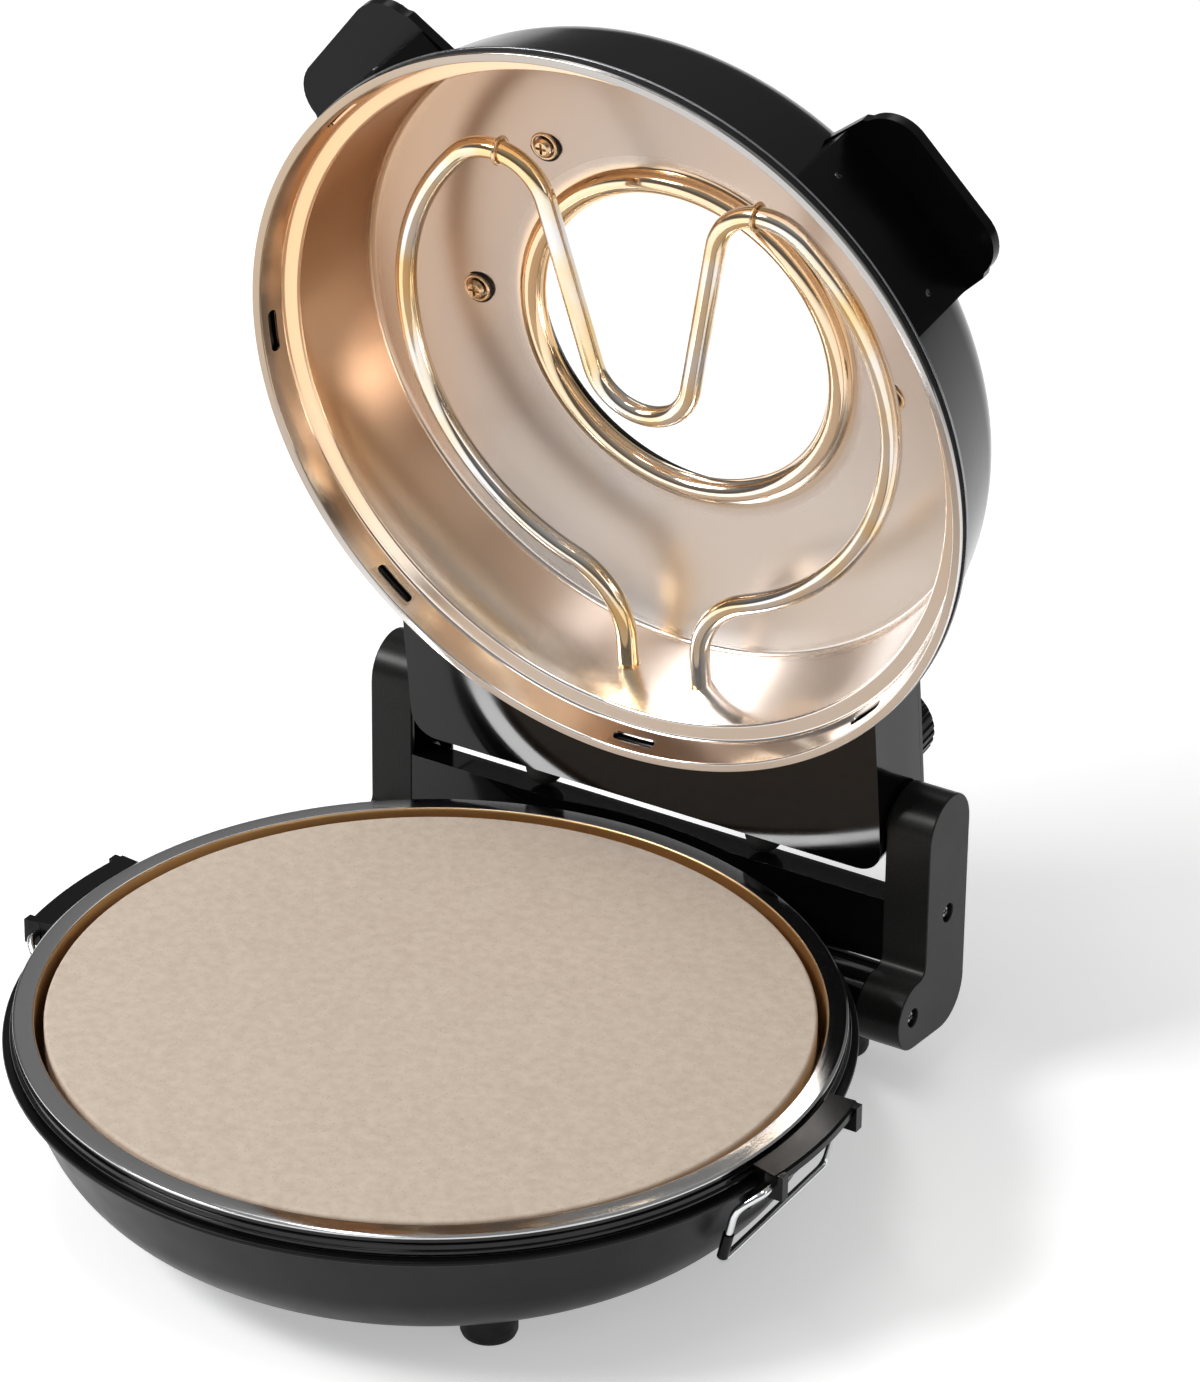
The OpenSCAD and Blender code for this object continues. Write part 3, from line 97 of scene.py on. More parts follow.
# Lid: heights are from the rim of the shut lid, radii from the lid's axis
rim_set_in = 1.6
rim_w = 3.9
step_set_in = 14.6
wall_lean = 6
rim_r = ring_r - rim_set_in
rim_in_r = rim_r - rim_w
step_h = 13.4
step_r = rim_r - step_set_in
wall_h = 60
wall_top_r = step_r - wall_lean
roof_h = 71.3
liner_wall = 0.9
cover_h = 82
cover_edge_h = 4.8
cover_edge_w = 1.2
cover_r = rim_r + 0.2
cover_side_r = rim_r - 2.2
cover_wall = 1.2
shoulder_r = 48
shoulder_in = 10.8
window_r = 68
bead_w = 12
bead_r = window_r + bead_w
lid_turn = 1.2


def on_ring(x, y, z):
    """A point about the base's axis, its zero height at the steel ring, as a place in the world."""
    return Vector((x, y + axis_y, z + ring_z)) * MM


def on_lid(x, y, h):
    """A point in the shut lid's frame, whose zero height is the lid's rim, as a place in the world."""
    c, s = math.cos(math.radians(lid_open)), math.sin(math.radians(lid_open))
    dy, dh = y - hinge_y, h - pivot_h
    return Vector((x, axis_y + hinge_y + dy * c + dh * s, hinge_z - dy * s + dh * c)) * MM


def in_lid(point):
    """A place in the world as (x, y, height) in the shut lid's frame, in millimetres."""
    c, s = math.cos(math.radians(lid_open)), math.sin(math.radians(lid_open))
    x, back, up = point[0] / MM, point[1] / MM - axis_y - hinge_y, point[2] / MM - hinge_z
    return x, hinge_y + back * c - up * s, pivot_h + back * s + up * c


def at_origin(x, y, z):
    """A point of a scratch piece that is made about the origin."""
    return Vector((x, y, z)) * MM


def polar(r, degrees):
    """The flat point at a radius and an angle about zero."""
    return r * math.cos(math.radians(degrees)), r * math.sin(math.radians(degrees))


# ---------------------------------------------------------------- outlines


def arc(centre, r, a0, a1, steps):
    """Points of an arc about centre, from angle a0 to a1 in degrees."""
    spokes = [polar(r, a0 + (a1 - a0) * i / steps) for i in range(steps + 1)]
    return [(centre[0] + x, centre[1] + y) for x, y in spokes]


def circle(r, steps=48):
    """Points round a circle about zero, without a closing point."""
    return [polar(r, 360 * i / steps) for i in range(steps)]


def filleted(corners, closed=True, degrees_a_step=12):
    """An outline whose corners are rounded: each corner is (x, y, radius)."""
    nearly_straight = math.radians(89)
    points = []
    count = len(corners)
    for i, (x, y, radius) in enumerate(corners):
        here = Vector((x, y))
        if radius == 0 or (not closed and i in (0, count - 1)):
            points.append((x, y))
            continue
        back = (Vector(corners[i - 1][:2]) - here).normalized()
        ahead = (Vector(corners[(i + 1) % count][:2]) - here).normalized()
        half = math.acos(max(-1, min(1, back.dot(ahead)))) / 2
        if half > nearly_straight:
            points.append((x, y))
            continue
        centre = here + (back + ahead).normalized() * radius / math.sin(half)
        start = here + back * radius / math.tan(half) - centre
        end = here + ahead * radius / math.tan(half) - centre
        a0 = math.degrees(math.atan2(start.y, start.x))
        turn = (math.degrees(math.atan2(end.y, end.x)) - a0 + 180) % 360 - 180
        points += arc(centre, radius, a0, a0 + turn, max(2, round(abs(turn) / degrees_a_step)))
    return points


def moved_out(points, distance):
    """An open outline moved to its left by a distance, for the far side of a thin sheet."""
    moved = []
    for i, point in enumerate(points):
        along = Vector(points[min(i + 1, len(points) - 1)]) - Vector(points[max(i - 1, 0)])
        along.normalize()
        moved.append((point[0] - along.y * distance, point[1] + along.x * distance))
    return moved


# ---------------------------------------------------------------- meshes


def placed(name, data):
    """A new object in the scene, at the origin."""
    made = bpy.data.objects.new(name, data)
    bpy.context.scene.collection.objects.link(made)
    return made


def piece(name, points, faces, material):
    """A mesh object from world points and faces."""
    mesh = bpy.data.meshes.new(name)
    mesh.from_pydata(points, [], faces)
    mesh.materials.append(material)
    return placed(name, mesh)


def smoothed(made, sharp_angle=38):
    """Merges doubles, points the faces outwards and shades smooth up to the given angle."""
    mesh = made.data
    work = bmesh.new()
    work.from_mesh(mesh)
    bmesh.ops.remove_doubles(work, verts=work.verts, dist=0.004 * MM)
    bmesh.ops.recalc_face_normals(work, faces=work.faces)
    work.to_mesh(mesh)
    work.free()
    mesh.shade_smooth()
    mesh.set_sharp_from_angle(angle=math.radians(sharp_angle))
    return made


def turned(name, outline, place, material, steps=240):
    """A solid of revolution: a closed outline of (radius, height) turned round a frame's axis."""
    on_axis = 0.01
    points, rings = [], []
    for r, z in outline:
        if r < on_axis:
            rings.append([len(points)] * steps)
            points.append(place(0, 0, z))
        else:
            rings.append(list(range(len(points), len(points) + steps)))
            points += [place(*polar(r, 360 * k / steps), z) for k in range(steps)]
    faces = []
    for i, ring in enumerate(rings):
        above = rings[(i + 1) % len(rings)]
        for k in range(steps):
            after = (k + 1) % steps
            corners = [ring[k], ring[after], above[after], above[k]]
            corners = [c for j, c in enumerate(corners) if c != corners[j - 1]]
            if len(corners) > 2:
                faces.append(corners)
    return smoothed(piece(name, points, faces, material))


def softened(node, name, material, width):
    """A copy of a CAD node with its doubles merged, its flat faces joined and its sharp edges rounded."""
    sharp, flat = math.radians(30), math.radians(0.4)
    made = placed(name, nodes[node].data.copy())
    mesh = made.data
    mesh.materials.clear()
    mesh.materials.append(material)
    work = bmesh.new()
    work.from_mesh(mesh)
    bmesh.ops.remove_doubles(work, verts=work.verts, dist=0.01 * MM)
    bmesh.ops.dissolve_limit(work, angle_limit=flat, verts=work.verts, edges=work.edges)
    work.to_mesh(mesh)
    work.free()
    if mesh.has_custom_normals:
        mesh.attributes.remove(mesh.attributes["custom_normal"])
    mesh.shade_smooth()
    mesh.set_sharp_from_angle(angle=sharp)
    bevel = made.modifiers.new("rounded_edges", "BEVEL")
    bevel.width = width * MM
    bevel.segments = 3
    bevel.limit_method = "ANGLE"
    bevel.angle_limit = sharp
    bevel.miter_outer = "MITER_ARC"
    bevel.harden_normals = True
    return flatten(made)


def flatten(made):
    """Turns an object's modifiers into its plain mesh."""
    depsgraph = bpy.context.evaluated_depsgraph_get()
    plain = bpy.data.meshes.new_from_object(made.evaluated_get(depsgraph))
    made.modifiers.clear()
    made.data = plain
    return made


def stands_for(made, body, *replaced, slot=None):
    """Puts a finished piece on its body, in place of the CAD nodes that it replaces."""
    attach(made, body)
    if replaced:
        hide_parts(*replaced)
    return made


# ---------------------------------------------------------------- node trees for repeats and tubes


def shape_tree(name, inputs, output):
    """An empty Geometry Nodes tree: inputs are (name, kind, default or None), output is a shape."""
    tree = bpy.data.node_groups.new(name, "GeometryNodeTree")
    for label, kind, default in inputs:
        socket = tree.interface.new_socket(label, in_out="INPUT", socket_type="NodeSocket" + kind)
        if default is not None:
            socket.default_value = default
    tree.interface.new_socket(output, in_out="OUTPUT", socket_type="NodeSocketGeometry")
    return tree


def swept_tube_tree():
    """Geometry Nodes: a round tube along a path of edges."""
    sizes = [("Radius", "Float", 0.001), ("Sides", "Int", 24)]
    inputs = [("Path", "Geometry", None), *sizes, ("Finish", "Material", None)]
    tree = shape_tree("swept_tube", inputs, "Tube")
    given = tree.nodes.new("NodeGroupInput")
    curve = tree.nodes.new("GeometryNodeMeshToCurve")
    profile = tree.nodes.new("GeometryNodeCurvePrimitiveCircle")
    sweep = tree.nodes.new("GeometryNodeCurveToMesh")
    sweep.inputs["Fill Caps"].default_value = True
    real = tree.nodes.new("GeometryNodeRealizeInstances")
    finish = tree.nodes.new("GeometryNodeSetMaterial")
    result = tree.nodes.new("NodeGroupOutput")
    join = tree.links.new
    join(given.outputs["Path"], curve.inputs["Mesh"])
    join(given.outputs["Sides"], profile.inputs["Resolution"])
    join(given.outputs["Radius"], profile.inputs["Radius"])
    join(curve.outputs["Curve"], sweep.inputs["Curve"])
    join(profile.outputs["Curve"], sweep.inputs["Profile Curve"])
    join(sweep.outputs["Mesh"], real.inputs["Geometry"])
    join(real.outputs["Geometry"], finish.inputs["Geometry"])
    join(given.outputs["Finish"], finish.inputs["Material"])
    join(finish.outputs["Geometry"], result.inputs["Tube"])
    return tree


def fastener_tree():
    """Geometry Nodes: one fastener at each point, its head turned along the point's facing."""
    shapes = [("Points", "Geometry", None), ("Fastener", "Object", None)]
    inputs = [*shapes, ("Size", "Float", 1.0), ("Finish", "Material", None)]
    tree = shape_tree("fasteners_at_points", inputs, "Fasteners")
    given = tree.nodes.new("NodeGroupInput")
    source = tree.nodes.new("GeometryNodeObjectInfo")
    facing = tree.nodes.new("GeometryNodeInputNamedAttribute")
    facing.data_type = "FLOAT_VECTOR"
    facing.inputs["Name"].default_value = "facing"
    align = tree.nodes.new("FunctionNodeAlignRotationToVector")
    align.axis = "Z"
    scatter = tree.nodes.new("GeometryNodeInstanceOnPoints")
    real = tree.nodes.new("GeometryNodeRealizeInstances")
    finish = tree.nodes.new("GeometryNodeSetMaterial")
    result = tree.nodes.new("NodeGroupOutput")
    join = tree.links.new
    join(given.outputs["Points"], scatter.inputs["Points"])
    join(given.outputs["Fastener"], source.inputs["Object"])
    join(source.outputs["Geometry"], scatter.inputs["Instance"])
    join(facing.outputs["Attribute"], align.inputs["Vector"])
    join(align.outputs["Rotation"], scatter.inputs["Rotation"])
    join(given.outputs["Size"], scatter.inputs["Scale"])
    join(scatter.outputs["Instances"], real.inputs["Geometry"])
    join(real.outputs["Geometry"], finish.inputs["Geometry"])
    join(given.outputs["Finish"], finish.inputs["Material"])
    join(finish.outputs["Geometry"], result.inputs["Fasteners"])
    return tree


def grown(made, tree, **values):
    """Runs a tree on an object with named inputs and keeps the result as its plain mesh."""
    modifier = made.modifiers.new(tree.name, "NODES")
    modifier.node_group = tree
    for socket in tree.interface.items_tree:
        key = socket.name.lower()
        if socket.item_type == "SOCKET" and socket.in_out == "INPUT" and key in values:
            modifier[socket.identifier] = values[key]
    return flatten(made)


swept_tube = swept_tube_tree()
fasteners_at_points = fastener_tree()


def tube(name, paths, diameter, material, sides=24, closed=False):
    """Round wire or tube along one or more lists of world points."""
    points, edges = [], []
    for path in paths:
        first = len(points)
        points += path
        edges += [(first + i, first + i + 1) for i in range(len(path) - 1)]
        if closed:
            edges.append((first + len(path) - 1, first))
    mesh = bpy.data.meshes.new(name)
    mesh.from_pydata(points, edges, [])
    made = placed(name, mesh)
    grown(made, swept_tube, radius=diameter / 2 * MM, sides=sides, finish=material)
    return smoothed(made, 40)


def screw_head(name, radius, height, material):
    """A domed head with a cross recess, its underside at zero height."""
    side_h, dome_r = height * 0.45, radius * 0.72
    arm, arm_half_w, depth = radius * 0.62, radius * 0.14, height * 0.7
    corners = [(0, 0, 0), (radius, 0, 0.1), (radius, side_h, 0.3), (dome_r, height, 0.6), (0, height, 0)]
    made = turned(name, filleted(corners), at_origin, material, steps=32)
    for half_x, half_y in ((arm, arm_half_w), (arm_half_w, arm)):
        cut_out(made, [block((0, 0, height), (half_x, half_y, depth), at_origin)])
    return smoothed(made, 30)


def block(centre, half, place):
    """A box used to cut with, as a scratch object."""
    corners = [
        place(centre[0] + sx * half[0], centre[1] + sy * half[1], centre[2] + sz * half[2])
        for sx in (-1, 1)
        for sy in (-1, 1)
        for sz in (-1, 1)
    ]
    faces = [(0, 1, 3, 2), (4, 6, 7, 5), (0, 4, 5, 1), (2, 3, 7, 6), (0, 2, 6, 4), (1, 5, 7, 3)]
    return piece("cutter", corners, faces, None)


def cut_out(made, cutters):
    """Cuts closed scratch objects out of a piece and removes them."""
    for cutter in cutters:
        work = bmesh.new()
        work.from_mesh(cutter.data)
        bmesh.ops.recalc_face_normals(work, faces=work.faces)
        work.to_mesh(cutter.data)
        work.free()
        cutting = made.modifiers.new("cut", "BOOLEAN")
        cutting.object = cutter
        cutting.operation = "DIFFERENCE"
        cutting.solver = "EXACT"
    flatten(made)
    for cutter in cutters:
        bpy.data.objects.remove(cutter)


def screws(name, places, head, material):
    """Copies of a head at world places, each given as (point, direction the head faces)."""
    mesh = bpy.data.meshes.new(name)
    mesh.from_pydata([point for point, _ in places], [], [])
    facing = mesh.attributes.new("facing", "FLOAT_VECTOR", "POINT")
    for i, (_, direction) in enumerate(places):
        facing.data[i].vector = direction
    made = placed(name, mesh)
    grown(made, fasteners_at_points, fastener=head, size=1.0, finish=material)
    if "facing" in made.data.attributes:
        made.data.attributes.remove(made.data.attributes["facing"])
    return smoothed(made, 30)


# ---------------------------------------------------------------- finishes


class Finish:
    """A node material on Object coordinates, built up a step at a time."""

    def __init__(self, name, colour, rough, metallic=0.0, **constants):
        self.material = bpy.data.materials.new(name)
        self.material.use_nodes = True
        self.tree = self.material.node_tree
        self.shader = self.tree.nodes["Principled BSDF"]
        self.set("Base Color", (*colour, 1))
        self.set("Roughness", rough)
        self.set("Metallic", metallic)
        for key, value in constants.items():
            self.set(key.replace("_", " "), value)
        self.place = self.tree.nodes.new("ShaderNodeTexCoord").outputs["Object"]

    def set(self, socket, value):
        """Sets a constant on the shader."""
        self.shader.inputs[socket].default_value = value

    def add(self, kind, **settings):
        """A new node with its settings."""
        made = self.tree.nodes.new(kind)
        for key, value in settings.items():
            setattr(made, key, value)
        return made

    def centred(self, centre, tilt=0.0):
        """Moves the pattern's zero to a world point and turns it about X."""
        mapping = self.add("ShaderNodeMapping", vector_type="TEXTURE")
        mapping.inputs["Location"].default_value = centre
        mapping.inputs["Rotation"].default_value = (tilt, 0, 0)
        self.tree.links.new(self.place, mapping.inputs["Vector"])
        self.place = mapping.outputs["Vector"]
        return self

    def noise(self, scale, detail=2.0, rough=0.5):
        """Clouds of a number of grains to the metre."""
        texture = self.add("ShaderNodeTexNoise")
        texture.inputs["Scale"].default_value = scale
        texture.inputs["Detail"].default_value = detail
        texture.inputs["Roughness"].default_value = rough
        self.tree.links.new(self.place, texture.inputs["Vector"])
        return texture.outputs["Fac"]

    def radius(self):
        """Distance from the pattern's Z axis, in metres."""
        flat = self.add("ShaderNodeVectorMath", operation="MULTIPLY")
        flat.inputs[1].default_value = (1, 1, 0)
        length = self.add("ShaderNodeVectorMath", operation="LENGTH")
        self.tree.links.new(self.place, flat.inputs[0])
        self.tree.links.new(flat.outputs["Vector"], length.inputs[0])
        return length.outputs["Value"]

    def along(self, direction):
        """How far a point lies along a direction of the pattern, in metres."""
        made = self.add("ShaderNodeVectorMath", operation="DOT_PRODUCT")
        made.inputs[1].default_value = direction
        self.tree.links.new(self.place, made.inputs[0])
        return made.outputs["Value"]

    def turning_marks(self, scale):
        """Fine rings about the pattern's Z axis, as a lathe or a brushing wheel leaves them."""
        rings = self.add("ShaderNodeTexNoise", noise_dimensions="1D")
        rings.inputs["Scale"].default_value = scale
        rings.inputs["Detail"].default_value = 3
        self.tree.links.new(self.radius(), rings.inputs["W"])
        return rings.outputs["Fac"]

    def remap(self, value, low, high, to_low, to_high):
        """A value's range from low to high, spread over another range and held at its ends."""
        made = self.add("ShaderNodeMapRange")
        sockets = ("From Min", "From Max", "To Min", "To Max")
        for socket, number in zip(sockets, (low, high, to_low, to_high)):
            made.inputs[socket].default_value = number
        self.tree.links.new(value, made.inputs["Value"])
        return made.outputs["Result"]

    def roughen(self, value):
        """Takes the roughness from a value."""
        self.tree.links.new(value, self.shader.inputs["Roughness"])
        return self

    def vary_rough(self, value, low, high):
        """Takes the roughness from a noise, between two ends."""
        return self.roughen(self.remap(value, 0.3, 0.7, low, high))

    def ramp(self, value, stops):
        """A colour for each position of a value: stops are (position, colour)."""
        made = self.add("ShaderNodeValToRGB")
        elements = made.color_ramp.elements
        while len(elements) < len(stops):
            elements.new(0.5)
        for element, (position, colour) in zip(elements, stops):
            element.position = position
            element.color = (*colour, 1)
        self.tree.links.new(value, made.inputs["Fac"])
        return made.outputs["Color"]

    def mix(self, share, first, second, blend="MIX"):
        """Two colours or values mixed by a share, each a constant or a node's output."""
        made = self.add("ShaderNodeMix", data_type="RGBA", blend_type=blend)
        share_socket, first_colour, second_colour, result = 0, 6, 7, 2
        for socket, given in ((share_socket, share), (first_colour, first), (second_colour, second)):
            if isinstance(given, (int, float)):
                made.inputs[socket].default_value = given
            elif isinstance(given, tuple):
                made.inputs[socket].default_value = (*given, 1)
            else:
                self.tree.links.new(given, made.inputs[socket])
        return made.outputs[result]

    def paint(self, colour):
        """Takes the base colour from a node's output."""
        self.tree.links.new(colour, self.shader.inputs["Base Color"])
        return self

    def bump(self, height, strength, distance=0.0002):
        """Fine relief from a noise; the distance is in metres."""
        made = self.add("ShaderNodeBump")
        made.inputs["Strength"].default_value = strength
        made.inputs["Distance"].default_value = distance
        self.tree.links.new(height, made.inputs["Height"])
        self.tree.links.new(made.outputs["Normal"], self.shader.inputs["Normal"])
        return self


def grey(value):
    """A grey as a colour."""
    return (value, value, value)


def even(name, colour, rough, metallic=0.0, *, grain, spread, detail=2.0, **constants):
    """One colour whose roughness varies between the two ends of its spread."""
    made = Finish(name, colour, rough, metallic, **constants)
    return made.vary_rough(made.noise(grain, detail), *spread).material


lid_axis = on_lid(0, 0, 0)
lid_tilt = -math.radians(lid_open)
near_black = (0.002, 0.002, 0.0022)


def liner_steel():
    """Bright pressed steel, polished on bead, step and rim, with warm bands on bead, wall and step that are
    partly heat tint and partly painted glints, a painted warm reflection on its left side and a painted
    highlight on the side near the hinge.
    """
    made = Finish("liner_steel", (0.66, 0.55, 0.47), 0.24, 1.0).centred(lid_axis, lid_tilt)
    by_radius = made.remap(made.radius(), 0.06, 0.17, 0, 1)
    # Warm bands on bead, wall and step: partly heat tint, partly painted warm glints on their curves.
    tint = made.ramp(
        by_radius,
        [
            (0.0, (0.92, 0.66, 0.38)),
            (0.17, (0.86, 0.68, 0.48)),
            (0.21, (0.57, 0.48, 0.42)),
            (0.77, (0.58, 0.48, 0.41)),
            (0.82, (0.88, 0.72, 0.57)),
            (0.88, (0.92, 0.74, 0.55)),
            (0.93, (0.84, 0.69, 0.55)),
            (0.94, (0.46, 0.45, 0.44)),
        ],
    )
    # Painted warm reflection: the liner's left side is made warmer in colour.
    painted_warm_reflection = made.remap(made.along((-0.90, -0.42, 0)), 0.05, 0.16, 0, 0.75)
    tint = made.mix(painted_warm_reflection, tint, (0.96, 0.68, 0.42), "MULTIPLY")
    # Painted highlight: the side near the hinge is painted near white.
    painted_highlight = made.remap(made.along((0.4, 0.92, 0)), 0.02, 0.12, 0, 0.95)
    tint = made.mix(painted_highlight, tint, (0.97, 0.94, 0.92))
    smoke = made.remap(made.noise(7), 0.45, 0.75, 0, 0.3)
    made.paint(made.mix(smoke, tint, (0.80, 0.66, 0.54), "MULTIPLY"))
    gloss_stops = ((0.17, 0.09), (0.24, 0.30), (0.74, 0.30), (0.82, 0.20), (0.87, 0.12))
    polish = made.ramp(by_radius, [(position, grey(rough)) for position, rough in gloss_stops])
    return made.roughen(polish).material


def ring_steel():
    """Polished steel of the pan's ring, with faint turning marks; the pan inside it is tinted by heat."""
    made = Finish("ring_steel", (0.56, 0.56, 0.56), 0.12, 1.0).centred(on_ring(0, 0, 0))
    inside = made.remap(made.radius(), (pan_r + 0.2) * MM, (pan_r + 0.8) * MM, 1, 0)
    made.paint(made.mix(inside, (0.56, 0.56, 0.56), (0.72, 0.47, 0.22)))
    marks = made.remap(made.turning_marks(1500), 0.3, 0.7, 0.08, 0.14)
    return made.roughen(made.mix(inside, marks, grey(0.42))).material


def heater_tube():
    """Nickel-bright tube with gold heat tints along it."""
    made = Finish("heater_tube", (0.74, 0.68, 0.60), 0.12, 1.0)
    tint = made.ramp(
        made.noise(26),
        [(0.40, (0.80, 0.77, 0.75)), (0.52, (0.82, 0.72, 0.58)), (0.66, (0.86, 0.62, 0.32))],
    )
    made.paint(tint)
    made.vary_rough(made.noise(120), 0.08, 0.15)
    return made.bump(made.noise(900), 0.03).material


def gold_steel():
    """Steel that heat has turned gold: clips, bushings and roof screws."""
    made = Finish("gold_steel", (0.72, 0.50, 0.28), 0.24, 1.0)
    made.paint(made.ramp(made.noise(160), [(0.3, (0.62, 0.42, 0.24)), (0.7, (0.82, 0.62, 0.40))]))
    return made.vary_rough(made.noise(300), 0.18, 0.32).material


def satin_black_paint():
    """Heat-proof satin paint of the bowl."""
    made = Finish("satin_black_paint", (0.003, 0.003, 0.0032), 0.36, Specular_IOR_Level=0.16)
    darker, paler = (0.0025, 0.0025, 0.0027), (0.0035, 0.0035, 0.0037)
    made.paint(made.ramp(made.noise(14, 3), [(0.3, darker), (0.7, paler)]))
    made.vary_rough(made.noise(60), 0.33, 0.40)
    return made.bump(made.noise(1500, 1), 0.06).material


def satin_black_plastic():
    """Smooth black plastic of the ears, grips and knobs."""
    made = Finish("satin_black_plastic", near_black, 0.24, Specular_IOR_Level=0.18)
    made.vary_rough(made.noise(80), 0.19, 0.27)
    return made.bump(made.noise(2200, 1), 0.04).material


def grey_plastic():
    """Dark grey metallic paint of the hinge cheeks."""
    made = Finish("grey_plastic", (0.017, 0.0165, 0.016), 0.32, 0.25, Specular_IOR_Level=0.18)
    darker, paler = (0.015, 0.0145, 0.014), (0.019, 0.0185, 0.018)
    made.paint(made.ramp(made.noise(900, 1), [(0.35, darker), (0.65, paler)]))
    return made.vary_rough(made.noise(40), 0.28, 0.36).material


def rubber():
    """Matt black rubber of the feet, bumpers and gaskets."""
    made = Finish("rubber", (0.012, 0.012, 0.012), 0.62, Specular_IOR_Level=0.3)
    made.vary_rough(made.noise(200), 0.55, 0.72)
    return made.bump(made.noise(1200), 0.2).material


def stone_finish():
    """Sand-coloured cordierite: open grain, fine dark specks and slow colour clouds."""
    made = Finish("stone", (0.60, 0.50, 0.41), 0.86, Specular_IOR_Level=0.25)
    clouds = made.ramp(made.noise(220, 4), [(0.3, (0.56, 0.46, 0.37)), (0.7, (0.64, 0.54, 0.45))])
    specks = made.add("ShaderNodeTexVoronoi")
    specks.inputs["Scale"].default_value = 520
    made.tree.links.new(made.place, specks.inputs["Vector"])
    share = made.remap(specks.outputs["Distance"], 0.10, 0.2, 0.55, 0)
    made.paint(made.mix(share, clouds, (0.34, 0.26, 0.19)))
    made.vary_rough(made.noise(160), 0.78, 0.94)
    return made.bump(made.noise(900, 4, rough=0.7), 0.35, 0.0003).material


def ceramic():
    """Fired white body of the heater's seals and the control units."""
    made = Finish("ceramic", (0.80, 0.77, 0.70), 0.5)
    made.paint(made.ramp(made.noise(120), [(0.3, (0.74, 0.71, 0.64)), (0.7, (0.84, 0.81, 0.75))]))
    return made.bump(made.noise(900), 0.1).material


def lens(name, colour):
    """Coloured clear plastic of an indicator lamp."""
    look = dict(Transmission_Weight=0.35, Coat_Weight=0.4)
    return even(name, colour, 0.1, grain=60, detail=1, spread=(0.08, 0.16), **look)


steel_liner = liner_steel()
steel_ring = ring_steel()
tube_steel = heater_tube()
clip_steel = gold_steel()
plain_screw = even("screw_steel", (0.42, 0.43, 0.44), 0.3, 1.0, grain=500, spread=(0.22, 0.4))
wire_chrome = even("chrome_wire", (0.72, 0.73, 0.74), 0.12, 1.0, grain=260, spread=(0.08, 0.18))
black_gloss = even("gloss_black", near_black, 0.1, grain=30, spread=(0.07, 0.12), Specular_IOR_Level=0.36)
# Enamelled sheet with a light orange peel
black_enamel = even(
    "gloss_black_paint", near_black, 0.14, grain=24, spread=(0.11, 0.17), Specular_IOR_Level=0.24
)
black_satin = satin_black_paint()
black_plastic = satin_black_plastic()
cheek_grey = grey_plastic()
black_rubber = rubber()
stone_sand = stone_finish()
clear_glass = Finish("window_glass", (1, 1, 1), 0.02, IOR=1.3, Transmission_Weight=1.0).material
white_ceramic = ceramic()
yellow_brass = even("brass", (0.70, 0.48, 0.18), 0.28, 1.0, grain=300, spread=(0.2, 0.36))
pale_nylon = even("nylon", (0.72, 0.69, 0.62), 0.5, grain=200, spread=(0.42, 0.58))
hidden_steel = even("dull_steel", (0.45, 0.45, 0.46), 0.4, 1.0, grain=90, detail=3, spread=(0.32, 0.5))
bare_edge = even("edge_steel", (0.36, 0.36, 0.37), 0.3, 1.0, grain=200, spread=(0.24, 0.36))
white_print = even("dial_print", (0.75, 0.75, 0.74), 0.5, grain=400, spread=(0.4, 0.6))


def dress(material, *names):
    """Gives CAD nodes whose shape stays a finish of their own."""
    for name in names:
        for slot in nodes[name].material_slots:
            slot.material = material


dress(hidden_steel, "reflector_pan", "stone_rests", "lower_heater", "limit_thermostat", "timer_shaft")
dress(hidden_steel, "thermostat_shaft", "hinge_pins", "pin_clips")
dress(plain_screw, "grip_screws", "ear_screws", "housing_bolts", "foot_screws", "belly_screws")
dress(plain_screw, "rear_cover_screws", "panel_screws", "cheek_screws")
dress(white_ceramic, "lower_heater_seals", "timer_unit", "thermostat_unit")
dress(clip_steel, "heater_bushings")
dress(yellow_brass, "inlet_pins", "heater_terminals")
dress(pale_nylon, "hinge_washers")
dress(black_rubber, "window_gasket", "lid_gasket")
dress(lens("red_lens", (0.55, 0.02, 0.015)), "power_lamp")
dress(lens("green_lens", (0.02, 0.32, 0.06)), "ready_lamp")
dress(black_plastic, "left_bail_sleeve", "right_bail_sleeve", "rear_cover")

# ---------------------------------------------------------------- base


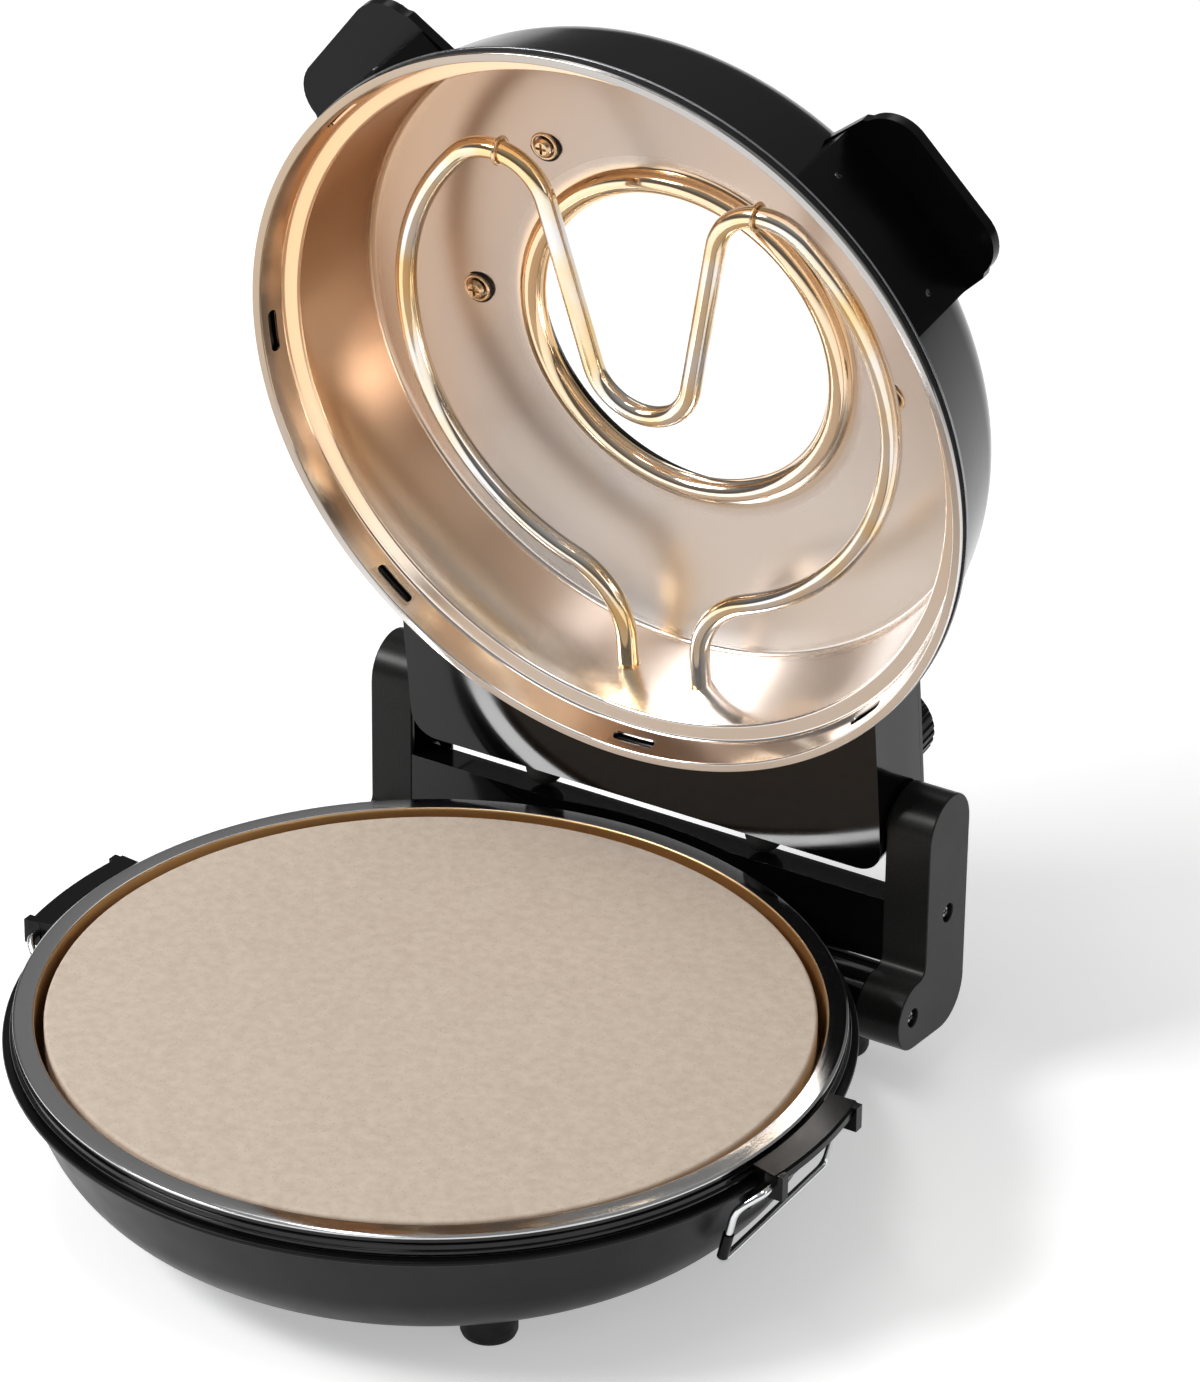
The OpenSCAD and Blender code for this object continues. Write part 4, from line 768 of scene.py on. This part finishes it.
def base_shells():
    """The turned pieces of the base: stone, pan with its ring, trim ring and bowl."""
    low_edge, top_edge = 1.2, 1.6
    stone = filleted(
        [(0, stone_low, 0), (stone_r, stone_low, low_edge), (stone_r, stone_top, top_edge), (0, stone_top, 0)]
    )
    stands_for(turned("stone_slab", stone, on_ring, stone_sand), "stone", "stone_plate", slot="stone")

    bottom, out = -pan_depth, pan_r + pan_wall
    pan = filleted(
        [
            (0, bottom, 0),
            (pan_r, bottom, 8),
            (pan_r, 0, 1.0),
            (ring_r, 0, 0.5),
            (bevel_r, -0.6, 0.3),
            (bevel_r, -1.8, 0.3),
            (ring_r, -pan_wall, 0),
            (out, -pan_wall, 0.8),
            (out, bottom - pan_wall, 8.5),
            (0, bottom - pan_wall, 0),
        ]
    )
    made = turned("steel_pan_and_ring", pan, on_ring, steel_ring, 288)
    stands_for(made, "base", "base_pan", slot="steel_pan")

    trim_in_r, trim_low = pan_r + 2.6, -flange_drop + 0.8
    trim = filleted(
        [
            (trim_in_r, trim_low, 0),
            (trim_r, trim_low, 0.2),
            (trim_r, -6.2, 0.5),
            (trim_r - 1.1, -6.0, 0.2),
            (trim_r - 1.2, -3.9, 0.4),
            (bevel_r - 1.0, -3.6, 0.2),
            (bevel_r - 1.0, -2.0, 0.3),
            (ring_r - 1, -pan_wall, 0),
            (trim_in_r, -pan_wall, 0),
        ]
    )
    made = turned("black_trim_ring", trim, on_ring, black_gloss, 288)
    stands_for(made, "base", "trim_ring", slot="gloss_black")

    bend_depth = bowl_depth - bowl_bend
    taper_end = bend_depth + bowl_bend * math.sin(math.radians(bowl_taper))
    taper_end_r = shell_r - (taper_end - flange_low) * math.tan(math.radians(bowl_taper))
    bend_r = taper_end_r - bowl_bend * math.cos(math.radians(bowl_taper))

    def bowl_side(inset):
        """The tapered side and the round bend below it, set in from the outside."""
        start = (shell_r - inset / math.cos(math.radians(bowl_taper)), -flange_low)
        return [start] + arc((bend_r, -bend_depth), bowl_bend - inset, -bowl_taper, -90, 28)

    flange = filleted(
        [
            (shell_r - 4, -flange_drop, 0),
            (flange_r, -flange_drop, 0.8),
            (flange_r, -flange_low, 0.7),
            (shell_r, -flange_low, 0),
        ],
        closed=False,
    )
    hole = [(belly_hole_r, -bowl_depth), (belly_hole_r, -bowl_depth + shell_wall)]
    bowl = flange + bowl_side(0)[1:] + hole + bowl_side(shell_wall)[::-1]
    made = turned("bowl_shell", bowl, on_ring, black_satin, 288)
    stands_for(made, "base", "base_shell", slot="satin_black_paint")


def cheek_screw_heads():
    """Pan heads just under the cheeks' outer faces, over the long screws."""
    set_in, head_r, head_top = 1.4, 3.1, 2.0
    back_and_drop = ((3.7, -7.5), (-24.5, -44.8))
    places = []
    for side, cheek in ((-1, "left_cheek"), (1, "right_cheek")):
        low, high = box_mm(cheek)
        face_x = low.x if side < 0 else high.x
        for back, drop in back_and_drop:
            x = face_x - side * (set_in + head_top)
            places.append((on_ring(x, hinge_y + back, drop), Vector((side, 0, 0))))
    head = screw_head("cheek_head", head_r, head_top, plain_screw)
    stands_for(screws("cheek_screw_heads", places, head, plain_screw), "base")
    bpy.data.objects.remove(head)


def base_details():
    """Rounded copies of the base's moulded pieces."""
    for node, name, material, width, slot in (
        ("front_feet", "front_feet_rounded", black_rubber, 0.5, "rubber"),
        ("rear_feet", "rear_feet_rounded", black_rubber, 0.5, "rubber"),
        ("belly_cover", "belly_cover_rounded", black_satin, 0.3, "satin_black_paint"),
        ("rear_housing", "rear_housing_rounded", black_gloss, 0.8, "gloss_black"),
        ("power_inlet", "power_inlet_rounded", black_plastic, 0.4, "black_plastic"),
        ("left_cheek", "left_cheek_rounded", cheek_grey, 0.9, "grey_plastic"),
        ("right_cheek", "right_cheek_rounded", cheek_grey, 0.9, "grey_plastic"),
        ("left_grip", "left_grip_rounded", black_plastic, 0.7, "black_plastic"),
        ("right_grip", "right_grip_rounded", black_plastic, 0.7, "black_plastic"),
    ):
        stands_for(softened(node, name, material, width), "base", node, slot=slot)


# ---------------------------------------------------------------- lid


def liner():
    """The pressed liner: rolled rim, step, wall, roof and window bead, with slots round its rim."""
    bead_foot = 0.6
    inner = filleted(
        [
            (rim_r, 1.4, 0),
            (rim_r, 0, 0.6),
            (rim_in_r, 0, 1.0),
            (rim_r - 7.5, step_h - 1.1, 1.8),
            (step_r, step_h + 0.2, 1.6),
            (wall_top_r, wall_h + 0.7, 3.0),
            (bead_r + 1.6, roof_h, 1.5),
            (bead_r - bead_foot, roof_h, 0),
        ],
        closed=False,
        degrees_a_step=8,
    )
    bead = arc((window_r + bead_w / 2, roof_h), bead_w / 2 - bead_foot, 0, -180, 24)
    inner += bead[1:] + [(window_r, roof_h)]
    back = moved_out(inner[3:], -liner_wall)
    outline = inner + back[::-1] + [(rim_in_r + 0.5, 1.4)]
    made = turned("pressed_liner", outline, on_lid, steel_liner, 360)
    slot_count, slot_h, slot_half, slot_r, cut_half = 8, 6, 7.9, 2.1, 12
    across = arc((slot_half, 0), slot_r, -90, 90, 10) + arc((-slot_half, 0), slot_r, 90, 270, 10)
    count = len(across)
    cutters = []
    for i in range(slot_count):
        angle = 360 / slot_count * i - lid_turn
        points = []
        for r in (rim_r - cut_half, rim_r + cut_half):
            for u, v in across:
                x, y = polar(r, angle)
                ux, uy = polar(u, angle + 90)
                points.append(on_lid(x + ux, y + uy, slot_h + v))
        faces = [list(range(count)), list(range(count, 2 * count))]
        faces += [[k, (k + 1) % count, count + (k + 1) % count, count + k] for k in range(count)]
        cutters.append(piece("cutter", points, faces, None))
    cut_out(made, cutters)
    stands_for(smoothed(made), "lid", "lid_liner", slot="warm_steel")


def cover():
    """The domed outer cover with its bare lower edge."""
    shoulder_h = cover_h - shoulder_r
    shoulder_c = rim_r - shoulder_in - shoulder_r
    band_top = cover_edge_h + cover_edge_w
    out, down = cover_side_r - shoulder_c, shoulder_h - band_top
    lean = math.degrees(math.acos(shoulder_r / math.hypot(out, down)) - math.atan2(down, out))
    edge = [(cover_side_r - cover_wall, band_top), (cover_side_r, band_top)]
    shoulder = arc((shoulder_c, shoulder_h), shoulder_r, lean, 90, 40)
    hole_r = window_r + 8
    hole = [(hole_r, cover_h), (hole_r, cover_h - cover_wall)]
    inside = arc((shoulder_c, shoulder_h), shoulder_r - cover_wall, 90, lean, 40)
    made = turned("domed_cover", edge + shoulder + hole + inside, on_lid, black_enamel, 288)
    stands_for(made, "lid", "lid_cover", slot="gloss_black_paint")
    band = filleted(
        [
            (cover_side_r - cover_wall, cover_edge_h, 0),
            (cover_r, cover_edge_h, 0.3),
            (cover_r, band_top, 0.3),
            (cover_side_r - cover_wall, band_top, 0),
        ]
    )
    stands_for(turned("cover_edge_band", band, on_lid, bare_edge, 288), "lid", "lid_cover")


def heater_path():
    """The upper heater's centre line in the lid's frame, and where its front loops carry a clip."""
    sweep_r, sweep_ahead = 115.5, 6
    loop_r, loop_front = 24.7, 95
    mid_r, mid_ahead = 23.9, 6.6
    tail_r, tail_x, tail_end = 38, 18, 166
    end_h, loop_dip, mid_dip = 39, 4.5, 3
    least_step = 0.05

    sweep_c = Vector((0, -sweep_ahead))
    tail_c_x = tail_x + tail_r
    tail_c = Vector((tail_c_x, -sweep_ahead + math.sqrt((sweep_r + tail_r) ** 2 - tail_c_x**2)))
    tail_a = math.degrees(math.atan2(tail_c.y - sweep_c.y, tail_c.x))
    loop_a = -math.degrees(math.asin((loop_front - sweep_ahead - loop_r) / (sweep_r - loop_r)))
    loop_c = sweep_c + Vector(polar(sweep_r - loop_r, loop_a))
    mid_c = Vector((0, -mid_ahead))
    between = mid_c - loop_c
    leg_a = math.degrees(math.atan2(between.y, between.x) - math.asin((loop_r + mid_r) / between.length))
    outer = [(tail_x, tail_end)] + arc(tail_c, tail_r, 180, 180 + tail_a, 24)
    outer += arc(sweep_c, sweep_r, tail_a, loop_a, 60) + arc(loop_c, loop_r, loop_a, -90, 16)
    inner = arc(loop_c, loop_r, -90, leg_a - 270, 28) + arc(mid_c, mid_r, leg_a - 90, 90, 20)
    inner_top = mid_r - mid_ahead
    half = [(x, y, end_h - loop_dip * max(0, -y) / loop_front) for x, y in outer]
    for x, y in inner:
        share = (inner_top - y) / (inner_top + loop_front)
        half.append((x, y, end_h - mid_dip - (loop_dip - mid_dip) * share))
    whole = half + [(-x, y, h) for x, y, h in reversed(half)]
    path = [whole[0]]
    for point in whole[1:]:
        if (Vector(point) - Vector(path[-1])).length > least_step:
            path.append(point)
    return path, loop_c, loop_r, end_h - loop_dip


def heater():
    """The upper tube heater and the wire rings that hold it."""
    tube_d, clip_x, clip_wire, clip_gap = 9, 60.5, 1.8, 0.1
    path, loop_c, loop_r, clip_h = heater_path()
    made = tube("tube_heater", [[on_lid(*point) for point in path]], tube_d, tube_steel, 32)
    stands_for(made, "lid", "upper_heater", slot="heater_tube")
    clip_y = loop_c.y - math.sqrt(loop_r**2 - (clip_x - loop_c.x) ** 2)
    clip_r = tube_d / 2 + clip_wire / 2 + clip_gap
    rings = [
        [on_lid(side * clip_x, clip_y + u, clip_h + v) for u, v in circle(clip_r)] for side in (-1, 1)
    ]
    made = tube("heater_clip_rings", rings, clip_wire, clip_steel, 12, closed=True)
    stands_for(made, "lid", "heater_clips", slot="gold_steel")


def roof_at(r):
    """Height of the liner's roof at a radius."""
    bead_edge_r, wall_edge_r, wall_edge_h = bead_r + 2, wall_top_r - 1.5, wall_h + 1.2
    return roof_h + (wall_edge_h - roof_h) * (r - bead_edge_r) / (wall_edge_r - bead_edge_r)


def liner_screws():
    """Screws with a washer on the roof, each with a dark ring of painted shade round it where a pressed dimple
    would be shaded.
    """
    screw_r, head_r, head_high = 99.5, 4.2, 2.2
    head_under, washer_under, shade_ring_under = 1.6, 0.9, 0.2
    washer_r, washer_wire, shade_ring_r, shade_ring_wire = 5.6, 1.6, 7.0, 1.0
    inward = (on_lid(0, 0, 0) - on_lid(0, 0, 1)).normalized()
    roof = roof_at(screw_r)
    places, washers, painted_shade_rings = [], [], []
    for angle in (-180, -127.5, 0):
        x, y = polar(screw_r, angle)
        places.append((on_lid(x, y, roof - head_under), inward))
        washers.append([on_lid(x + u, y + v, roof - washer_under) for u, v in circle(washer_r)])
        painted_shade_rings.append([on_lid(x + u, y + v, roof - shade_ring_under) for u, v in circle(shade_ring_r)])
    head = screw_head("roof_screw_head", head_r, head_high, clip_steel)
    heads = screws("roof_screw_heads", places, head, clip_steel)
    bpy.data.objects.remove(head)
    stands_for(heads, "lid", "liner_screws", slot="gold_steel")
    made = tube("roof_screw_washers", washers, washer_wire, clip_steel, 12, True)
    stands_for(made, "lid", "liner_screws", slot="gold_steel")
    # A dark ring of painted shade round each screw, standing for the shade of a pressed dimple.
    made = tube("roof_screw_dimples", painted_shade_rings, shade_ring_wire, black_rubber, 12, True)
    stands_for(made, "lid", "liner_screws")


def lid_details():
    """Rounded copies of the lid's moulded pieces and the knobs, and the window's glass."""
    for node, name, material, width, slot in (
        ("window_bezel", "window_bezel_rounded", black_gloss, 0.5, "gloss_black"),
        ("lid_bracket", "lid_bracket_rounded", black_gloss, 0.8, "gloss_black"),
        ("control_panel", "control_panel_rounded", black_gloss, 0.4, "gloss_black"),
        ("stop_bumpers", "stop_bumpers_rounded", black_rubber, 0.3, "rubber"),
        ("left_ear", "left_ear_rounded", black_plastic, 1.2, "black_plastic"),
        ("right_ear", "right_ear_rounded", black_plastic, 1.2, "black_plastic"),
    ):
        stands_for(softened(node, name, material, width), "lid", node, slot=slot)
    for knob, body in (("timer_knob", "timer"), ("thermostat_knob", "thermostat")):
        stands_for(softened(knob, knob + "_rounded", black_plastic, 0.3), body, knob, slot="black_plastic")
    dress(clear_glass, "window_glass")


def dial_ticks():
    """Printed ticks on the panel around each knob, from its pointer's rest through its turn."""
    knob_r, rest_angle, step = 20, -90, 30
    tick_in, tick_out, tick_w = knob_r + 0.8, knob_r + 2.9, 0.8
    outward = on_lid(0, 0, 1) - on_lid(0, 0, 0)
    face_h = max(in_lid(vertex.co)[2] for vertex in nodes["control_panel"].data.vertices)
    ticks = []
    for knob, turn in (("timer_knob", "timer_turn"), ("thermostat_knob", "thermostat_turn")):
        joint = joints[turn]
        places = [in_lid(vertex.co) for vertex in nodes[knob].data.vertices]
        x, y = ((min(row) + max(row)) / 2 for row in list(zip(*places))[:2])
        whole_turn = max(joint["range_deg"], key=abs)
        way = math.copysign(1, whole_turn * Vector(joint["axis"]).dot(outward))
        for i in range(round(abs(whole_turn) / step) + 1):
            angle = rest_angle + way * step * i
            ends = [polar(r, angle) for r in (tick_in, tick_out)]
            ticks.append([on_lid(x + u, y + v, face_h) for u, v in ends])
    stands_for(tube("dial_ticks", ticks, tick_w, white_print, 8), "lid")


# ---------------------------------------------------------------- bails


def bails():
    """The wire bails: each a bent wire, drawn for the right side and turned to its own."""
    wire, corner_r = 3.3, 5
    pivot_x, pivot_z, pivot_end, pivot_bend = 178.4, -9.6, 26, 36
    bar_x, bar_z, leg_y, leg_splay = 162, -45, 42.5, 0.5
    elbow_share, elbow_drop = 0.6, 8
    elbow = (pivot_x + (bar_x - pivot_x) * elbow_share, leg_y + leg_splay, pivot_z - elbow_drop)
    foot = (bar_x, leg_y - leg_splay, bar_z)
    half = [(pivot_x, pivot_end, pivot_z), (pivot_x, pivot_bend, pivot_z), elbow, foot]
    route = round_corners([(x, -y, z) for x, y, z in half] + half[::-1], corner_r)
    for name, turn, side in (("right_bail", 0, 1), ("left_bail", -1.6, -1)):
        c, s = math.cos(math.radians(turn)), math.sin(math.radians(turn))
        world = [on_ring(side * x * c - y * s, side * x * s + y * c, z) for x, y, z in route]
        made = tube(name + "_wire", [world], wire, wire_chrome, 20)
        stands_for(made, name + "_body", name, slot="chrome_wire")


def round_corners(corners, radius, steps=8):
    """A 3-D path whose inner corners are replaced by curves that leave each side at the radius."""
    most_share = 0.45
    path = [Vector(corners[0])]
    for before, here, after in zip(corners, corners[1:], corners[2:]):
        here = Vector(here)
        back, ahead = Vector(before) - here, Vector(after) - here
        reach = min(radius, back.length * most_share, ahead.length * most_share)
        start, end = here + back.normalized() * reach, here + ahead.normalized() * reach
        for i in range(steps + 1):
            t = i / steps
            path.append(start * (1 - t) ** 2 + here * 2 * t * (1 - t) + end * t**2)
    path.append(Vector(corners[-1]))
    return path


base_shells()
base_details()
cheek_screw_heads()
liner()
cover()
heater()
liner_screws()
lid_details()
dial_ticks()
bails()

# ---------------------------------------------------------------- floor, light and camera


def floor_finish():
    """White paper that keeps the object's shadow and glows a little to camera, mirror and glass rays."""
    paper_white, glow_strength = 0.86, 0.42
    made = bpy.data.materials.new("white_floor")
    made.use_nodes = True
    tree = made.node_tree
    tree.nodes.clear()
    result = tree.nodes.new("ShaderNodeOutputMaterial")
    diffuse = tree.nodes.new("ShaderNodeBsdfDiffuse")
    diffuse.inputs["Color"].default_value = (*grey(paper_white), 1)
    glow = tree.nodes.new("ShaderNodeEmission")
    rays = tree.nodes.new("ShaderNodeLightPath")
    camera_or_mirror = tree.nodes.new("ShaderNodeMath")
    camera_or_mirror.operation = "MAXIMUM"
    any_view = tree.nodes.new("ShaderNodeMath")
    any_view.operation = "MAXIMUM"
    strength = tree.nodes.new("ShaderNodeMath")
    strength.operation = "MULTIPLY"
    strength.inputs[1].default_value = glow_strength
    both = tree.nodes.new("ShaderNodeAddShader")
    join = tree.links.new
    join(rays.outputs["Is Camera Ray"], camera_or_mirror.inputs[0])
    join(rays.outputs["Is Glossy Ray"], camera_or_mirror.inputs[1])
    join(camera_or_mirror.outputs[0], any_view.inputs[0])
    join(rays.outputs["Is Transmission Ray"], any_view.inputs[1])
    join(any_view.outputs[0], strength.inputs[0])
    join(strength.outputs[0], glow.inputs["Strength"])
    join(diffuse.outputs[0], both.inputs[0])
    join(glow.outputs[0], both.inputs[1])
    join(both.outputs[0], result.inputs["Surface"])
    return made


def floor():
    """A wide floor at zero height, in metres."""
    half = 9.0
    points = [(-half, -half, 0), (half, -half, 0), (half, half, 0), (-half, half, 0)]
    made = piece("studio_floor", points, [(0, 1, 2, 3)], floor_finish())


def area_light(name, place, aim, size, power):
    """A white rectangular lamp at a place, aimed at a point, in metres and watts."""
    lamp = bpy.data.lights.new(name, "AREA")
    lamp.shape = "RECTANGLE"
    lamp.size, lamp.size_y = size
    lamp.energy = power
    made = placed(name, lamp)
    made.location = place
    made.rotation_euler = (Vector(aim) - Vector(place)).to_track_quat("-Z", "Y").to_euler()


def world_light():
    """A soft dome, paler above than at the sides."""
    strength = 0.62
    greys = ((0.0, 0.18), (0.2, 0.20), (0.5, 0.40), (0.9, 0.56))
    world = bpy.data.worlds.new("soft_dome")
    bpy.context.scene.world = world
    world.use_nodes = True
    tree = world.node_tree
    dome = tree.nodes["Background"]
    place = tree.nodes.new("ShaderNodeTexCoord")
    split = tree.nodes.new("ShaderNodeSeparateXYZ")
    ramp = tree.nodes.new("ShaderNodeValToRGB")
    elements = ramp.color_ramp.elements
    while len(elements) < len(greys):
        elements.new(0.5)
    for element, (height, value) in zip(elements, greys):
        element.position = height
        element.color = (*grey(value), 1)
    tree.links.new(place.outputs["Generated"], split.inputs[0])
    tree.links.new(split.outputs["Z"], ramp.inputs["Fac"])
    tree.links.new(ramp.outputs["Color"], dome.inputs["Color"])
    dome.inputs["Strength"].default_value = strength


def camera():
    """The photograph's view: angles round the base's axis, then the eye's distance and offsets in metres."""
    azimuth, elevation, roll = (math.radians(a) for a in (30.68, 28.80, 0.67))
    aside, above, distance = -0.06896, -0.12829, 2.68215
    image_height, focal_pixels, sensor = 1382, 6563.95, 36
    flat = math.cos(elevation)
    back = Vector((math.sin(azimuth) * flat, -math.cos(azimuth) * flat, math.sin(elevation)))
    level = Vector((math.cos(azimuth), math.sin(azimuth), 0))
    upright = back.cross(level)
    right = level * math.cos(roll) + upright * math.sin(roll)
    up = upright * math.cos(roll) - level * math.sin(roll)
    matrix = Matrix((right, up, back)).transposed().to_4x4()
    matrix.translation = back * distance - right * aside - up * above + on_ring(0, 0, 0)
    view = bpy.data.cameras.new("photo_view")
    view.sensor_fit = "VERTICAL"
    view.sensor_height = sensor
    view.lens = sensor * focal_pixels / image_height
    view.clip_end = 100
    made = placed("photo_view", view)
    made.matrix_world = matrix
    bpy.context.scene.camera = made


floor()
world_light()
area_light("key_left", (-1.7, -1.6, 2.2), (0, 0, 0.15), (1.3, 0.8), 70)
area_light("strip_above", (-0.4, -0.5, 2.6), (0, 0, 0.1), (2.0, 0.3), 12)
area_light("fill_right", (1.8, -0.6, 1.2), (0, 0, 0.2), (0.5, 1.6), 3.5)
area_light("back_top", (-0.6, 1.8, 2.0), (0, 0.1, 0.2), (1.4, 0.4), 3)
camera()
bpy.context.scene.view_settings.view_transform = "Standard"
